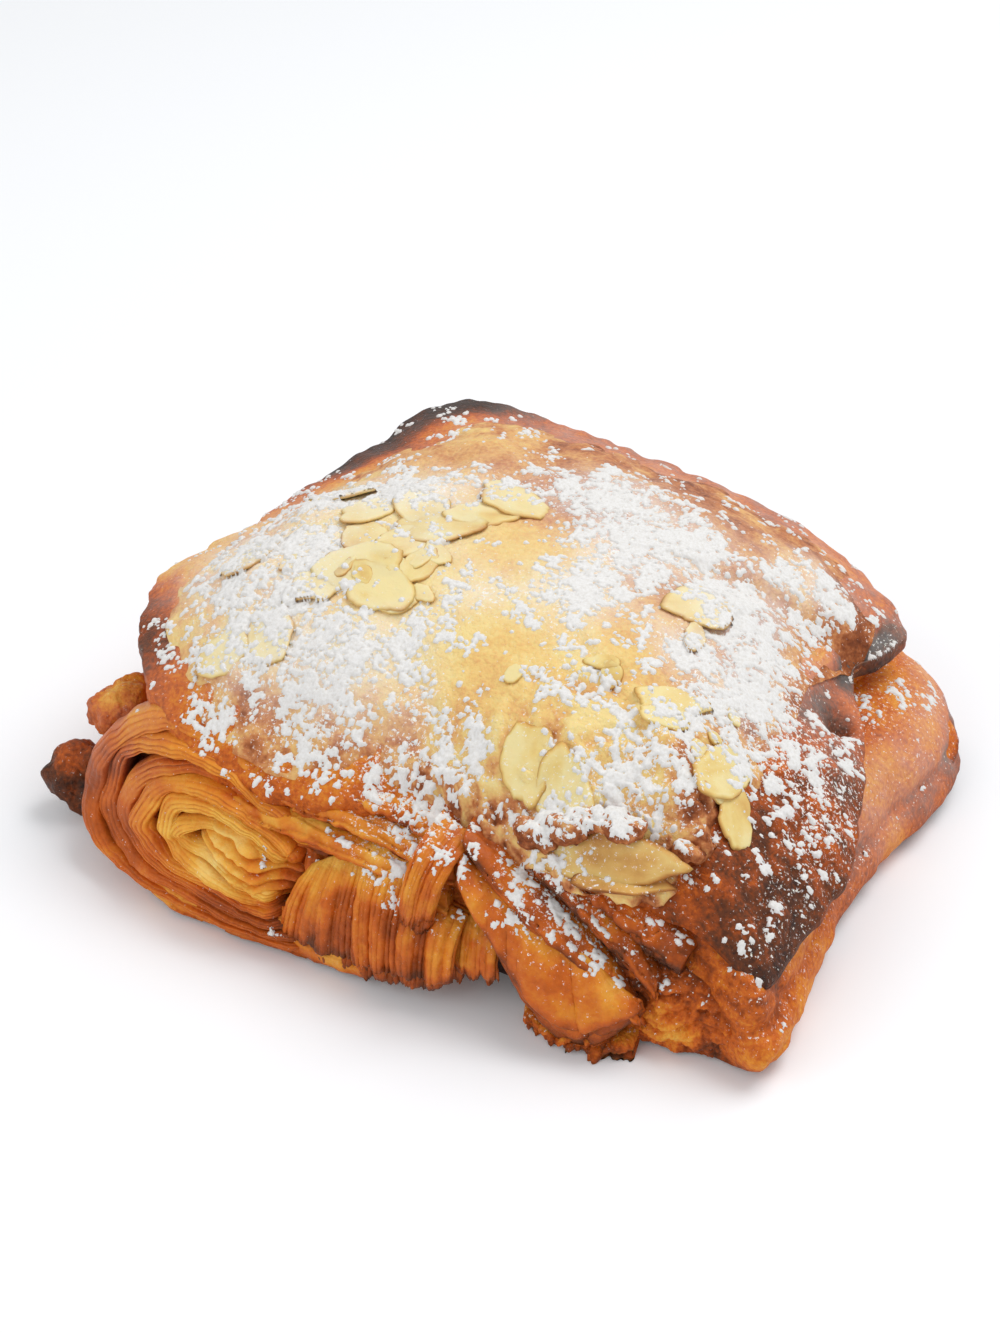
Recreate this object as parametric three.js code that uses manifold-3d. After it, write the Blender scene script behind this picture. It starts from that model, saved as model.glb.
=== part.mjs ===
// An almond pain au chocolat: a laminated roll that was split and filled, with almond cream and flaked
// almonds baked onto its lid. Millimetres: +X along the rolled end, +Y along the roll, +Z up, base at z = 0.
import * as THREE from "three";
import { mergeVertices } from "three/addons/utils/BufferGeometryUtils.js";
import Module from "manifold-3d";

// Driving dimensions of the roll
const CROWN_HEIGHT = 40.5;
const DOME_POWER = 2.7;
const LIP_THICKNESS = 2.6;
const LID_PLUG_HEIGHT = 9;
const OUTLINE_SAMPLES = 720;
const SEGMENTS_AROUND = 60;
const MERGE_DISTANCE = 1e-4;
// Brings the middle of the finished pastry over the origin
const CENTRE_SHIFT = [-1.15, 1.96];

// Plan outline of the bottom half, from its left side round the front
const BASE_OUTLINE = [
  [-54, -4], [-54, -14], [-50, -25], [-41, -34.5], [-20, -42], [12, -45], [36, -42.5], [48, -44.4],
  [54.6, -45.4], [56, -39], [55.8, -26], [55.4, -12], [57.4, 3], [60.4, 13], [61.4, 26], [57, 36], [44, 42],
  [12, 44], [-24, 43.5], [-46, 38], [-54, 24],
];
// Share of that outline and height, from the top of the bottom half down to its flat foot
const BELLY_HEIGHT = 7.5;
const BASE_RINGS = [
  [0, 17], [0.8, 18.5], [0.88, 18], [0.94, 16], [0.98, 12], [1, BELLY_HEIGHT], [1, 4], [0.985, 1.4],
  [0.95, 0], [0, 0],
];
// The skin leans in more on the side where it ends in a flange
const FLANGE_ANGLE = THREE.MathUtils.degToRad(22);
const FLANGE_LEAN = 0.9;
// Its foot draws back under the hanging curtain: share of the radius, and where along the front
const HEM_HOLLOW = { share: 0.09, from: [-8, 2], to: [23, 28] };

// Lip of the lid in plan, with the height of its upper edge
const LID_LIP = [
  [-51, -5, 29], [-49, -18, 29], [-41, -30.5, 27], [-27, -39, 23], [-13, -40.5, 23], [6, -38.5, 24],
  [24, -40.5, 22], [42, -39.5, 18.5], [53.4, -41.6, 14.3], [55.2, -36, 14.4], [57.4, -20, 15.8],
  [54.4, -2, 19.5], [50.5, 9, 21.5], [46.5, 16.5, 21.8], [50, 20.5, 21.6], [51.6, 26.5, 21.8],
  [43.5, 36, 25.6], [24, 42.5, 31], [-6, 45, 35.4], [-26, 43.5, 37.4], [-36, 32, 33], [-45.5, 12, 28.5],
];
// Share of the way out to the lip at each ring of the dome
const DOME_RINGS = [0, 0.45, 0.7, 0.84, 0.91, 0.96, 1];
// Underside of the lid: share of the lip outline and depth below the upper edge
const LIP_RINGS = [[1, 1.3], [0.985, LIP_THICKNESS], [0.93, LIP_THICKNESS + 0.4]];
const PLUG_SHARE = 0.86;

// The rolled end: a flattened spiral of folded layers round a long eye, whose right end is a hollow
const HOLLOW = [-12.6, 12];
const EYE_LENGTH = 11.5;
const EYE_SLOPE = 0.17;
const SPIRAL_REACH = { left: 27.5, right: 22, down: 10.8, upLeft: 16, upRight: 8.5 };
const HOLLOW_REACH = { start: 0.8, growth: 6 };
// How square the spiral is at its upper right, upper left, lower left and lower right
const CORNER_POWERS = [2.6, 2.8, 2.5, 4];
const FRONT_TURNS = 6;
const BACK_TURNS = 3;
const SPIRAL_STEPS = 14;
const SPIRAL_START = 0.2;
const EYE_LAYERS = 0.9;
const LAYER_SHARE = 0.7;
const FOLD_WANDER = { height: 0.12, waves: 2.7 };
const OUTER_FOLDS_THICKER = 1.3;
const LAYER_DEPTH = 11;
const FRONT_END = -49.4;
const BACK_END = 45.6;
const END_ROUNDING = { start: -12, span: 48, drop: 15.5 };
// The near face leans back above the middle of its height and is tucked in at its foot
const FRONT_LEAN = { start: 5, span: 19, drop: 10.5, power: 1.4, tuck: 3, tuckPower: 1.6, share: 1 };
const BACK_LEAN = { ...FRONT_LEAN, share: 0.3 };

// Dough sheets that hang out of the split: upper edge, lower edge, how far they belly out, thickness
const SHEETS = [
  // Curtain of fine folds to the right of the spiral
  {
    upper: [[-9.4, -43.4, 14.6], [-4, -42.8, 17.4], [2.5, -42.8, 17.8], [8, -43.6, 16], [14, -44.4, 14.2]],
    lower: [[-14, -46.2, 2.4], [-6, -48.2, 2.2], [2, -49.2, 2.8], [8, -49.8, 3.6], [13.2, -49.2, 5]],
    belly: 1.8, thickness: 1.8, folds: 9, steps: [27, 2],
  },
  // Band along the foot of the spiral
  {
    upper: [[-39, -39.5, 8.5], [-33, -42.4, 7], [-23, -44.6, 7], [-11, -45.6, 7.5], [0, -46.6, 6.5]],
    lower: [[-40, -40.5, 1.6], [-33, -44.4, 0.9], [-23, -46.2, 0.8], [-9, -47.6, 1], [1, -48.6, 1.4]],
    belly: 0.9, thickness: 1.3,
  },
  // Four pleats that sweep down to the right of the curtain, the lowest one first
  {
    upper: [[12.5, -43.6, 23.6], [20, -44.6, 19.6], [29, -45.4, 15], [38.6, -46.2, 9]],
    lower: [
      [13, -46.6, 19.5], [18.6, -48.6, 13], [24, -50.2, 6],
      [31.6, -51, 2.4], [36, -49.2, 4.4], [39.2, -47.2, 8],
    ],
    belly: 0.9, thickness: 1.8,
  },
  {
    upper: [[12, -38, 25.5], [22, -39, 20.5], [31, -41, 14.5], [38, -44.6, 7.6]],
    lower: [[13, -45, 23.5], [21.5, -47.6, 17], [30, -48.4, 11.2], [36, -48.2, 7.4], [39.5, -47.6, 4.8]],
    belly: 1.4, thickness: 1.8,
  },
  {
    upper: [[21, -36, 24], [30, -37, 20.5], [36, -39, 16], [40, -42, 11]],
    lower: [[22.5, -43.6, 21], [30, -45.4, 16.8], [35.5, -45.8, 12.6], [40.5, -45.6, 8]],
    belly: 1.2, thickness: 1.8,
  },
  {
    upper: [[28, -37, 22.5], [36, -37, 19.5], [44, -38, 15]],
    lower: [[30, -43.4, 19.6], [36.5, -44, 16], [42.5, -43.4, 11.8]],
    belly: 1, thickness: 1.6,
  },
  // Strip folded down beside the pleats
  {
    upper: [[8, -39, 26], [11, -40, 25], [14, -39, 24]],
    lower: [[5.5, -48.6, 12.5], [7.5, -49, 12], [10, -48.4, 13.5]],
    belly: 3.4, thickness: 1.6,
  },
  // Three shingles over the spiral, the lowest one first
  {
    upper: [[-25, -36.5, 19.6], [-10, -38, 19.6], [10, -40.5, 18]],
    lower: [[-22, -43, 17.6], [-12, -44.2, 17.2], [0, -45, 16.2], [12, -46.5, 12.5]],
    belly: 1.2, thickness: 1.5,
  },
  {
    upper: [[-15, -36, 21.4], [-4, -37, 22.2], [10, -39, 21]],
    lower: [[-13, -41.4, 19.6], [-5, -42.6, 19.8], [4, -43.2, 18.6], [12, -44, 16]],
    belly: 1.2, thickness: 1.5,
  },
  {
    upper: [[-6, -35, 24.4], [2, -36, 25], [13, -38, 23.6]],
    lower: [[-5, -39.8, 22.4], [1, -41, 22.2], [6, -41.6, 20.8], [13, -42.6, 18.8]],
    belly: 1, thickness: 1.5,
  },
  // Crumbled layers under the pleats
  {
    upper: [[22, -43, 2.8], [30, -43, 3], [38, -42, 3]],
    lower: [[23.5, -49.2, 1.1], [30, -51.2, 1], [38.5, -49.2, 1.2]],
    belly: 0.4, thickness: 1.6,
  },
  // Two sheets at the far end
  {
    upper: [[-20, 38, 27], [0, 38, 25], [22, 38, 22], [40, 36, 18]],
    lower: [[-18, 45, 22.5], [2, 46.5, 19.5], [24, 46, 14], [44, 43, 7]],
    belly: -1.6, thickness: 1.8,
  },
  {
    upper: [[16, 38, 17], [30, 38, 13], [44, 36, 10]],
    lower: [[14, 46, 12.5], [28, 47, 4], [42, 45, 1.6]],
    belly: -1.2, thickness: 1.8,
  },
  // Curled rim of the flange
  {
    upper: [[54.5, 17, 13.5], [55, 28, 14], [49, 36, 14.5]],
    lower: [[60.4, 13, 4.5], [61.4, 27, 6.5], [54, 38.5, 7.5]],
    belly: 0, thickness: 1.6,
  },
];
const SHEET_STEPS = [6, 2];
const FOLD_HEIGHT = 0.9;
const SHEET_SLOPE_STEP = 1e-3;

// Burnt lumps at two ends of the outer skin: centre and half sizes
const BURNT_LUMPS = [
  { centre: [-53.4, -27.6, 5.6], half: [6.6, 6, 5.2] },
  { centre: [-50.6, -23.2, 15], half: [4.8, 5.8, 5.2] },
];
const LUMP_FACETS = [12, 8];

// Almond cream on the lid: plan outline, rings, and depth in the middle and at the thick front rim
const CREAM_OUTLINE = [
  [-45, -7], [-42, -21], [-34, -31.5], [-23, -38], [-14, -39.4], [-6, -37], [3, -37], [12, -39.6], [24, -43],
  [33, -42.6], [41.5, -36.8], [46, -29], [47, -15], [44.5, 0], [46, 12], [48, 23], [38, 34], [18, 39],
  [-6, 39.5], [-19, 35.5], [-29, 24], [-38, 9],
];
const CREAM_RINGS = [0, 0.25, 0.46, 0.64, 0.78, 0.87, 0.93, 0.97, 1];
const CREAM_MIDDLE = 2.4;
const CREAM_FRONT = 4.6;
const CREAM_FRONT_Y = [16, 36];
const CREAM_FRONT_X = [-14, 16];
const CREAM_EDGE_POWER = 7;
const CREAM_UNDER = 2.4;
const CREAM_UNDER_SHARE = 0.985;
const FIT_GAP = 0.35;
const LUMP_PITCH = 17;
const LUMP_HEIGHT = 0.45;
const LUMP_SKEW = 0.65;

// Flaked almonds: place on the cream, turn in degrees, length, width and forward lean in degrees
const ALMONDS = [
  [30.8, -38.3, 8, 21, 8, 40], [34, -40.4, 12, 14, 5, 8], [17.5, -33.5, 100, 13, 7],
  [23.2, -35.6, 106, 11.6, 8.4], [41, -24, 62, 13.5, 7.5], [44, -27, 132, 10, 6],
  [32, -19.6, 32, 11, 5], [33, -22.6, 28, 9, 3.6],
  [43, -33, 40, 7.5, 2.8], [30.4, -6, 100, 6, 3.4], [29.4, 0.5, 45, 13, 8], [-9.6, -1, 28, 13, 10],
  [-16, -12.5, 15, 13, 9], [-8, -10.6, 85, 8, 5], [-12, -16, 150, 12, 8], [-28, 8, 30, 11, 7],
  [-3, 10, 160, 12, 8], [-33.5, -12, 60, 10, 7], [-24, -24.5, 100, 11, 7], [-30, -27.5, 35, 11, 7],
  [-20, -15.5, 70, 11, 8],
];
const ALMOND_THICKNESS = 1.3;
const ALMOND_SUNK = 0.45;
const ALMOND_POINT = 0.34;
const ALMOND_STEPS = 12;
const ALMOND_FOOTING = 1.5;

// Finishes
const BAKED_DOUGH = { color: 0xb8692f, roughness: 0.7, metalness: 0 };
const ALMOND_TOPPING = { color: 0xd9a860, roughness: 0.8, metalness: 0 };

const wasm = await Module();
wasm.setup();

// A closed geometry as a solid that can be joined and cut
function solidOf(geometry) {
  geometry.deleteAttribute("normal");
  geometry.deleteAttribute("uv");
  const merged = mergeVertices(geometry, MERGE_DISTANCE);
  return new wasm.Manifold(new wasm.Mesh({
    numProp: 3,
    vertProperties: merged.getAttribute("position").array,
    triVerts: new Uint32Array(merged.index.array),
  }));
}

// A solid back as a named mesh with its own material
function meshOf(name, solid, finish) {
  const made = solid.getMesh();
  const geometry = new THREE.BufferGeometry();
  geometry.setAttribute("position", new THREE.BufferAttribute(made.vertProperties, 3));
  geometry.setIndex(new THREE.BufferAttribute(made.triVerts, 1));
  geometry.translate(CENTRE_SHIFT[0], CENTRE_SHIFT[1], 0);
  geometry.computeVertexNormals();
  const mesh = new THREE.Mesh(geometry, new THREE.MeshStandardMaterial(finish));
  mesh.name = name;
  return mesh;
}

// Moves every point of a geometry to where the given rule puts it
function moved(geometry, rule) {
  const position = geometry.getAttribute("position");
  const point = new THREE.Vector3();
  for (let i = 0; i < position.count; i += 1) {
    point.fromBufferAttribute(position, i);
    const to = rule(point.clone(), i);
    position.setXYZ(i, to.x, to.y, to.z);
  }
  return geometry;
}

// A closed outline as radius and height by angle round the origin
function outlineByAngle(points) {
  const corners = points.map(([x, y, z = 0]) => new THREE.Vector3(x, y, z));
  const curve = new THREE.CatmullRomCurve3(corners, true, "centripetal");
  const samples = curve.getPoints(OUTLINE_SAMPLES).slice(1).map((p) => ({
    angle: Math.atan2(p.y, p.x),
    radius: Math.hypot(p.x, p.y),
    height: p.z,
  }));
  samples.sort((a, b) => a.angle - b.angle);
  const first = samples[0];
  const last = samples[samples.length - 1];
  samples.push({ ...first, angle: first.angle + 2 * Math.PI });
  samples.unshift({ ...last, angle: last.angle - 2 * Math.PI });
  return (angle) => {
    const turned = Math.atan2(Math.sin(angle), Math.cos(angle));
    const next = Math.max(1, samples.findIndex((s) => s.angle >= turned));
    const a = samples[next - 1];
    const b = samples[next];
    const share = b.angle > a.angle ? (turned - a.angle) / (b.angle - a.angle) : 0;
    return {
      radius: THREE.MathUtils.lerp(a.radius, b.radius, share),
      height: THREE.MathUtils.lerp(a.height, b.height, share),
    };
  };
}

// A closed body of rings: place(angle, ring) gives each point, the first and last ring being single points
function ringedBody(rings, place) {
  const columns = SEGMENTS_AROUND + 1;
  const geometry = new THREE.SphereGeometry(1, SEGMENTS_AROUND, rings - 1);
  return solidOf(moved(geometry, (point, i) => {
    const angle = Math.PI + (2 * Math.PI * (i % columns % SEGMENTS_AROUND)) / SEGMENTS_AROUND;
    return place(angle, Math.floor(i / columns));
  }));
}

function polar(angle, radius, height) {
  return new THREE.Vector3(radius * Math.cos(angle), radius * Math.sin(angle), height);
}

const baseOutline = outlineByAngle(BASE_OUTLINE);
const lidLip = outlineByAngle(LID_LIP);
const creamOutline = outlineByAngle(CREAM_OUTLINE);

// Height of the lid's domed skin above a point of the plan
function lidTop(x, y) {
  const lip = lidLip(Math.atan2(y, x));
  const share = Math.min(1, Math.hypot(x, y) / lip.radius);
  return lip.height + (CROWN_HEIGHT - lip.height) * (1 - share ** DOME_POWER);
}

// How much the foot of the bottom half draws back at an angle
function hemHollow(angle, radius) {
  const { smoothstep } = THREE.MathUtils;
  const across = radius * Math.cos(angle);
  const along = smoothstep(across, ...HEM_HOLLOW.from) * (1 - smoothstep(across, ...HEM_HOLLOW.to));
  return Math.sin(angle) < 0 ? HEM_HOLLOW.share * along : 0;
}

function bottomHalf() {
  return ringedBody(BASE_RINGS.length, (angle, ring) => {
    const [share, height] = BASE_RINGS[ring];
    const lean = 1 + FLANGE_LEAN * Math.max(0, Math.cos(angle - FLANGE_ANGLE)) ** 2;
    const leans = share > 0 && height > BELLY_HEIGHT;
    const { radius } = baseOutline(angle);
    const kept = height < BELLY_HEIGHT ? 1 - hemHollow(angle, radius) : 1;
    return polar(angle, radius * kept * (leans ? 1 - (1 - share) * lean : share), height);
  });
}

function lid() {
  const rings = DOME_RINGS.length + LIP_RINGS.length + 2;
  return ringedBody(rings, (angle, ring) => {
    const lip = lidLip(angle);
    if (ring < DOME_RINGS.length) {
      const out = polar(angle, lip.radius * DOME_RINGS[ring], 0);
      return out.setZ(ring === 0 ? CROWN_HEIGHT : lidTop(out.x, out.y));
    }
    const under = LIP_RINGS[ring - DOME_RINGS.length];
    if (under) return polar(angle, lip.radius * under[0], lip.height - under[1]);
    return polar(angle, ring === rings - 1 ? 0 : lip.radius * PLUG_SHARE, LID_PLUG_HEIGHT);
  });
}

// How far the rolled end is rounded back towards its left corner
function endRounding(x) {
  const past = Math.max(0, (END_ROUNDING.start - x) / END_ROUNDING.span);
  return END_ROUNDING.drop * past ** 2;
}

// How far the rolled end leans back at a height above its foot
function faceLean(z, { start, span, drop, power, tuck, tuckPower, share }) {
  const above = THREE.MathUtils.clamp((z - start) / span, 0, 1.3);
  const below = THREE.MathUtils.clamp((start - z) / start, 0, 1);
  return share * (drop * above ** power + tuck * below ** tuckPower);
}

// How square the spiral is in a direction
function cornerPower(angle) {
  const corner = THREE.MathUtils.euclideanModulo(angle / (Math.PI / 2) - 0.5, CORNER_POWERS.length);
  const before = Math.floor(corner);
  const after = (before + 1) % CORNER_POWERS.length;
  return THREE.MathUtils.lerp(CORNER_POWERS[before], CORNER_POWERS[after], corner - before);
}

// A point of the spiral: its angle, and its share of the way from the eye to the outermost layer
function spiralPoint(angle, share) {
  const { lerp, smoothstep } = THREE.MathUtils;
  const across = Math.cos(angle);
  const upward = Math.sin(angle);
  const power = cornerPower(angle);
  const out = (Math.abs(across) ** power + Math.abs(upward) ** power) ** (-1 / power);
  const left = EYE_LENGTH + share * SPIRAL_REACH.left;
  const beside = HOLLOW_REACH.start + HOLLOW_REACH.growth * share;
  const right = beside + SPIRAL_REACH.right * smoothstep(share, 0.35, 1);
  const x = HOLLOW[0] + lerp(left, right, smoothstep(across, -0.25, 0.25)) * out * across;
  const up = lerp(SPIRAL_REACH.upLeft, SPIRAL_REACH.upRight, smoothstep(across, -0.6, 0.25));
  const rise = EYE_SLOPE * Math.max(0, HOLLOW[0] - x) * (1 - share) ** 2;
  const reachZ = upward < 0 ? SPIRAL_REACH.down : up;
  return new THREE.Vector2(x, HOLLOW[1] + rise + share * reachZ * out * upward);
}

// The layers that show at a rolled end, running into the roll from its face
function rolledLayers(face, turns, lean) {
  const outer = [];
  const inner = [];
  const shareOf = (layer) => (layer / (turns + EYE_LAYERS)) ** OUTER_FOLDS_THICKER;
  for (let i = 0; i <= turns * SPIRAL_STEPS; i += 1) {
    const angle = 2 * Math.PI * (SPIRAL_START + i / SPIRAL_STEPS);
    const wander = FOLD_WANDER.height * Math.sin(FOLD_WANDER.waves * angle);
    const layer = EYE_LAYERS + i / SPIRAL_STEPS + wander;
    outer.push(spiralPoint(angle, shareOf(layer + LAYER_SHARE / 2)));
    inner.unshift(spiralPoint(angle, shareOf(layer - LAYER_SHARE / 2)));
  }
  const geometry = new THREE.ExtrudeGeometry(new THREE.Shape([...outer, ...inner]), {
    depth: LAYER_DEPTH, steps: 1, bevelEnabled: false,
  });
  geometry.rotateX(Math.PI / 2);
  const towards = Math.sign(face);
  const reach = towards < 0 ? LAYER_DEPTH : 0;
  return solidOf(moved(geometry, (p) => {
    const back = endRounding(p.x) + faceLean(p.z, lean);
    return p.setY(p.y + reach + face - towards * back);
  }));
}

// A curved sheet between an upper and a lower edge, with its folds and its thickness to both sides
function sheet({ upper, lower, belly, thickness, folds = 0, steps = SHEET_STEPS }) {
  const edges = [upper, lower].map((edge) => (
    new THREE.CatmullRomCurve3(edge.map((p) => new THREE.Vector3(...p)), false, "centripetal")
  ));
  const pointAt = (u, v) => {
    const point = edges[0].getPoint(u).lerp(edges[1].getPoint(u), v);
    const bulge = Math.sin(Math.PI * v);
    const fold = FOLD_HEIGHT * v * (0.5 - 0.5 * Math.cos(2 * Math.PI * folds * u));
    return point.add(new THREE.Vector3(0, fold - belly * bulge, Math.abs(belly) * bulge));
  };
  const geometry = new THREE.BoxGeometry(1, 1, 1, steps[0], steps[1], 1);
  const step = SHEET_SLOPE_STEP;
  return solidOf(moved(geometry, (p) => {
    const u = THREE.MathUtils.clamp(p.x + 0.5, step, 1 - step);
    const v = THREE.MathUtils.clamp(p.y + 0.5, step, 1 - step);
    const along = pointAt(u + step, v).sub(pointAt(u - step, v));
    const down = pointAt(u, v + step).sub(pointAt(u, v - step));
    const normal = along.cross(down).normalize();
    return pointAt(p.x + 0.5, p.y + 0.5).addScaledVector(normal, p.z * thickness);
  }));
}

function roundLump({ centre, half }) {
  const geometry = new THREE.SphereGeometry(1, ...LUMP_FACETS);
  return solidOf(geometry.scale(...half).translate(...centre));
}

// Gentle lumps of baked cream
function creamLumps(x, y) {
  const wave = (2 * Math.PI) / LUMP_PITCH;
  const along = Math.sin(wave * x + Math.sin(wave * LUMP_SKEW * y));
  const across = Math.sin(wave * y + Math.cos(wave * LUMP_SKEW * x));
  return LUMP_HEIGHT * (along + across);
}

// Height of the cream's upper face above a point of the plan
function creamTop(x, y) {
  const share = Math.min(1, Math.hypot(x, y) / creamOutline(Math.atan2(y, x)).radius);
  const forward = THREE.MathUtils.smoothstep(-y, ...CREAM_FRONT_Y);
  const front = forward * THREE.MathUtils.smoothstep(x, ...CREAM_FRONT_X);
  const depth = THREE.MathUtils.lerp(CREAM_MIDDLE, CREAM_FRONT, front);
  const edge = Math.sqrt(Math.max(0, 1 - share ** CREAM_EDGE_POWER));
  return lidTop(x, y) + FIT_GAP + depth * edge + creamLumps(x, y) * edge * share;
}

function creamBody() {
  const rings = CREAM_RINGS.length + 2;
  return ringedBody(rings, (angle, ring) => {
    const radius = creamOutline(angle).radius;
    if (ring < CREAM_RINGS.length) {
      const out = polar(angle, radius * CREAM_RINGS[ring], 0);
      return out.setZ(creamTop(out.x, out.y));
    }
    const rim = polar(angle, radius * CREAM_UNDER_SHARE, 0);
    const under = lidTop(rim.x, rim.y) - CREAM_UNDER;
    return ring === rings - 1 ? new THREE.Vector3(0, 0, CROWN_HEIGHT - CREAM_UNDER) : rim.setZ(under);
  });
}

// One slice of almond, pointed at one end, lying on the cream and following its slope
function almondSlice([x, y, turnDegrees, length, width, lean]) {
  const outline = [];
  for (let i = 0; i < ALMOND_STEPS; i += 1) {
    const angle = (2 * Math.PI * i) / ALMOND_STEPS;
    const along = Math.cos(angle);
    const taper = 1 - ALMOND_POINT * Math.max(0, along) ** 2;
    outline.push(new THREE.Vector2((along * length) / 2, (Math.sin(angle) * taper * width) / 2));
  }
  const geometry = new THREE.ExtrudeGeometry(new THREE.Shape(outline), {
    depth: ALMOND_THICKNESS, steps: 1, bevelEnabled: false,
  });
  const step = ALMOND_FOOTING;
  const normal = new THREE.Vector3(
    (creamTop(x - step, y) - creamTop(x + step, y)) / (2 * step),
    (creamTop(x, y - step) - creamTop(x, y + step)) / (2 * step),
    1,
  );
  if (lean !== undefined) normal.set(0, -Math.tan(THREE.MathUtils.degToRad(lean)), 1);
  normal.normalize();
  geometry.translate(0, 0, -ALMOND_SUNK);
  geometry.rotateZ(THREE.MathUtils.degToRad(turnDegrees));
  geometry.applyQuaternion(new THREE.Quaternion().setFromUnitVectors(new THREE.Vector3(0, 0, 1), normal));
  geometry.translate(x, y, creamTop(x, y));
  return solidOf(geometry);
}

// The main body of a solid, without loose scraps and with sealed hollows filled
function largestBody(solid) {
  return solid.decompose().sort((a, b) => b.volume() - a.volume())[0];
}

// The pastry: both halves of the roll, its layered ends, hanging sheets and lumps, in one piece
function pastrySolid() {
  let solid = bottomHalf().add(lid());
  solid = solid.add(rolledLayers(FRONT_END, FRONT_TURNS, FRONT_LEAN));
  solid = solid.add(rolledLayers(BACK_END, BACK_TURNS, BACK_LEAN));
  for (const each of SHEETS) solid = solid.add(sheet(each));
  for (const each of BURNT_LUMPS) solid = solid.add(roundLump(each));
  return largestBody(solid);
}

// The cream with its almonds, fitted over the pastry with a small gap
function creamSolid(pastry) {
  let solid = creamBody();
  for (const each of ALMONDS) solid = solid.add(almondSlice(each));
  return largestBody(solid.subtract(pastry.translate([0, 0, FIT_GAP])).subtract(pastry));
}

const pastry = pastrySolid();
const group = new THREE.Group();
group.add(meshOf("pastry", pastry, BAKED_DOUGH));
group.add(meshOf("almond_cream", creamSolid(pastry), ALMOND_TOPPING));

export default group;
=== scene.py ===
# %% [markdown]
# # An almond pain au chocolat
# A laminated roll was baked, split, filled and baked again under a coat of almond cream with flaked almonds,
# and then dusted with icing sugar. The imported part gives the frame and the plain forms. This lesson dresses
# it: thin dough layers, browned skins, cream, almond flakes and the sugar on top.

# %% Load the frame
import math

import bmesh
import bpy
import numpy as np
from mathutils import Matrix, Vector
from mathutils.bvhtree import BVHTree


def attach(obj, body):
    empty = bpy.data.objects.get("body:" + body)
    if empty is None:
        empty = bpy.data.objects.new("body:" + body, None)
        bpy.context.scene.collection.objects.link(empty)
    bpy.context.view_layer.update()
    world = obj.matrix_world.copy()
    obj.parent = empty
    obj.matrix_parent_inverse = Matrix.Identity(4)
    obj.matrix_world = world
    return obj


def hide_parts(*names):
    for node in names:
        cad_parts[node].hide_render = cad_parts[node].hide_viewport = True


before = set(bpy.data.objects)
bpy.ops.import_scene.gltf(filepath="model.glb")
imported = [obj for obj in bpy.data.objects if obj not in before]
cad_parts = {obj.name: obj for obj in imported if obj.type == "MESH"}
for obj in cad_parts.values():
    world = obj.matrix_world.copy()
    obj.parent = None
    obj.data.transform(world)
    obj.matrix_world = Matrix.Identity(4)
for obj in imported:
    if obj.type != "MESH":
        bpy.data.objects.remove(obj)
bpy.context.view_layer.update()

# %% [markdown]
# ## Measures
# The roll is thought of in millimetres, with the spiral facing -Y and the base at z = 0. Blender works in
# metres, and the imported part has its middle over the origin, so one small function takes every point there
# and another takes it back.

# %% Millimetres of the roll to metres of the frame
CENTRE_SHIFT = (-1.15, 1.96)
FULL_TURN = 2 * math.pi


def metres(points):
    return (np.asarray(points, dtype=float) + (*CENTRE_SHIFT, 0)) * 0.001


def millimetres(places):
    return places * 1000 - (*CENTRE_SHIFT, 0)


def between(ends, share):
    return ends[0] + (ends[1] - ends[0]) * share


def portion(value, start, span):
    return np.clip((value - start) / span, 0, 1)


def smooth(share):
    return share * share * (3 - 2 * share)


def ramp(start, end, value):
    return smooth(portion(value, start, end - start))


def xyz(x, y, z):
    return np.stack(np.broadcast_arrays(x, y, z), axis=1)


def circle(angle, radius, z=0):
    return xyz(radius * np.cos(angle), radius * np.sin(angle), z)


def spot(x, y, middle, half):
    return np.exp(-((x - middle[0]) / half[0]) ** 2 - ((y - middle[1]) / half[1]) ** 2)


def one(value):
    return np.array([float(value)])


print("middle of the roll goes to", metres([[0, 0, 0]])[0].round(5))

# %% [markdown]
# ## Unevenness
# Nothing baked is even. A lattice of seeded random numbers, blended smoothly between its points, gives lumps
# of any size that are the same on every run. Several sizes on top of each other make a rough surface.

# %% Seeded lumps
LATTICE_SIDE = 32
LATTICE = np.random.default_rng(11).uniform(-1, 1, (LATTICE_SIDE,) * 3)


def lumps(points, size, seed=0):
    place = np.asarray(points, dtype=float) / size + 7.31 * seed
    cell = np.floor(place).astype(int)
    within = smooth(place - cell)
    total = np.zeros(len(place))
    for corner in np.ndindex(2, 2, 2):
        at = (cell + corner) % LATTICE_SIDE
        weight = np.where(np.array(corner) == 1, within, 1 - within).prod(axis=1)
        total += weight * LATTICE[at[:, 0], at[:, 1], at[:, 2]]
    return total


def rough(points, size, layers=3, seed=0):
    return sum(lumps(points, size / 2 ** k, seed + k) * 0.5 ** k for k in range(layers))


print("lumps at three points", lumps([[0, 0, 0], [3, 1, 2], [9, 9, 9]], 4).round(2))

# %% [markdown]
# ## Smooth curves
# The edges of the halves, the cream and the hanging sheets are drawn through a few points each. A centripetal
# Catmull-Rom curve passes through all of them without loops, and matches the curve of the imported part.

# %% Curves through points


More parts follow.
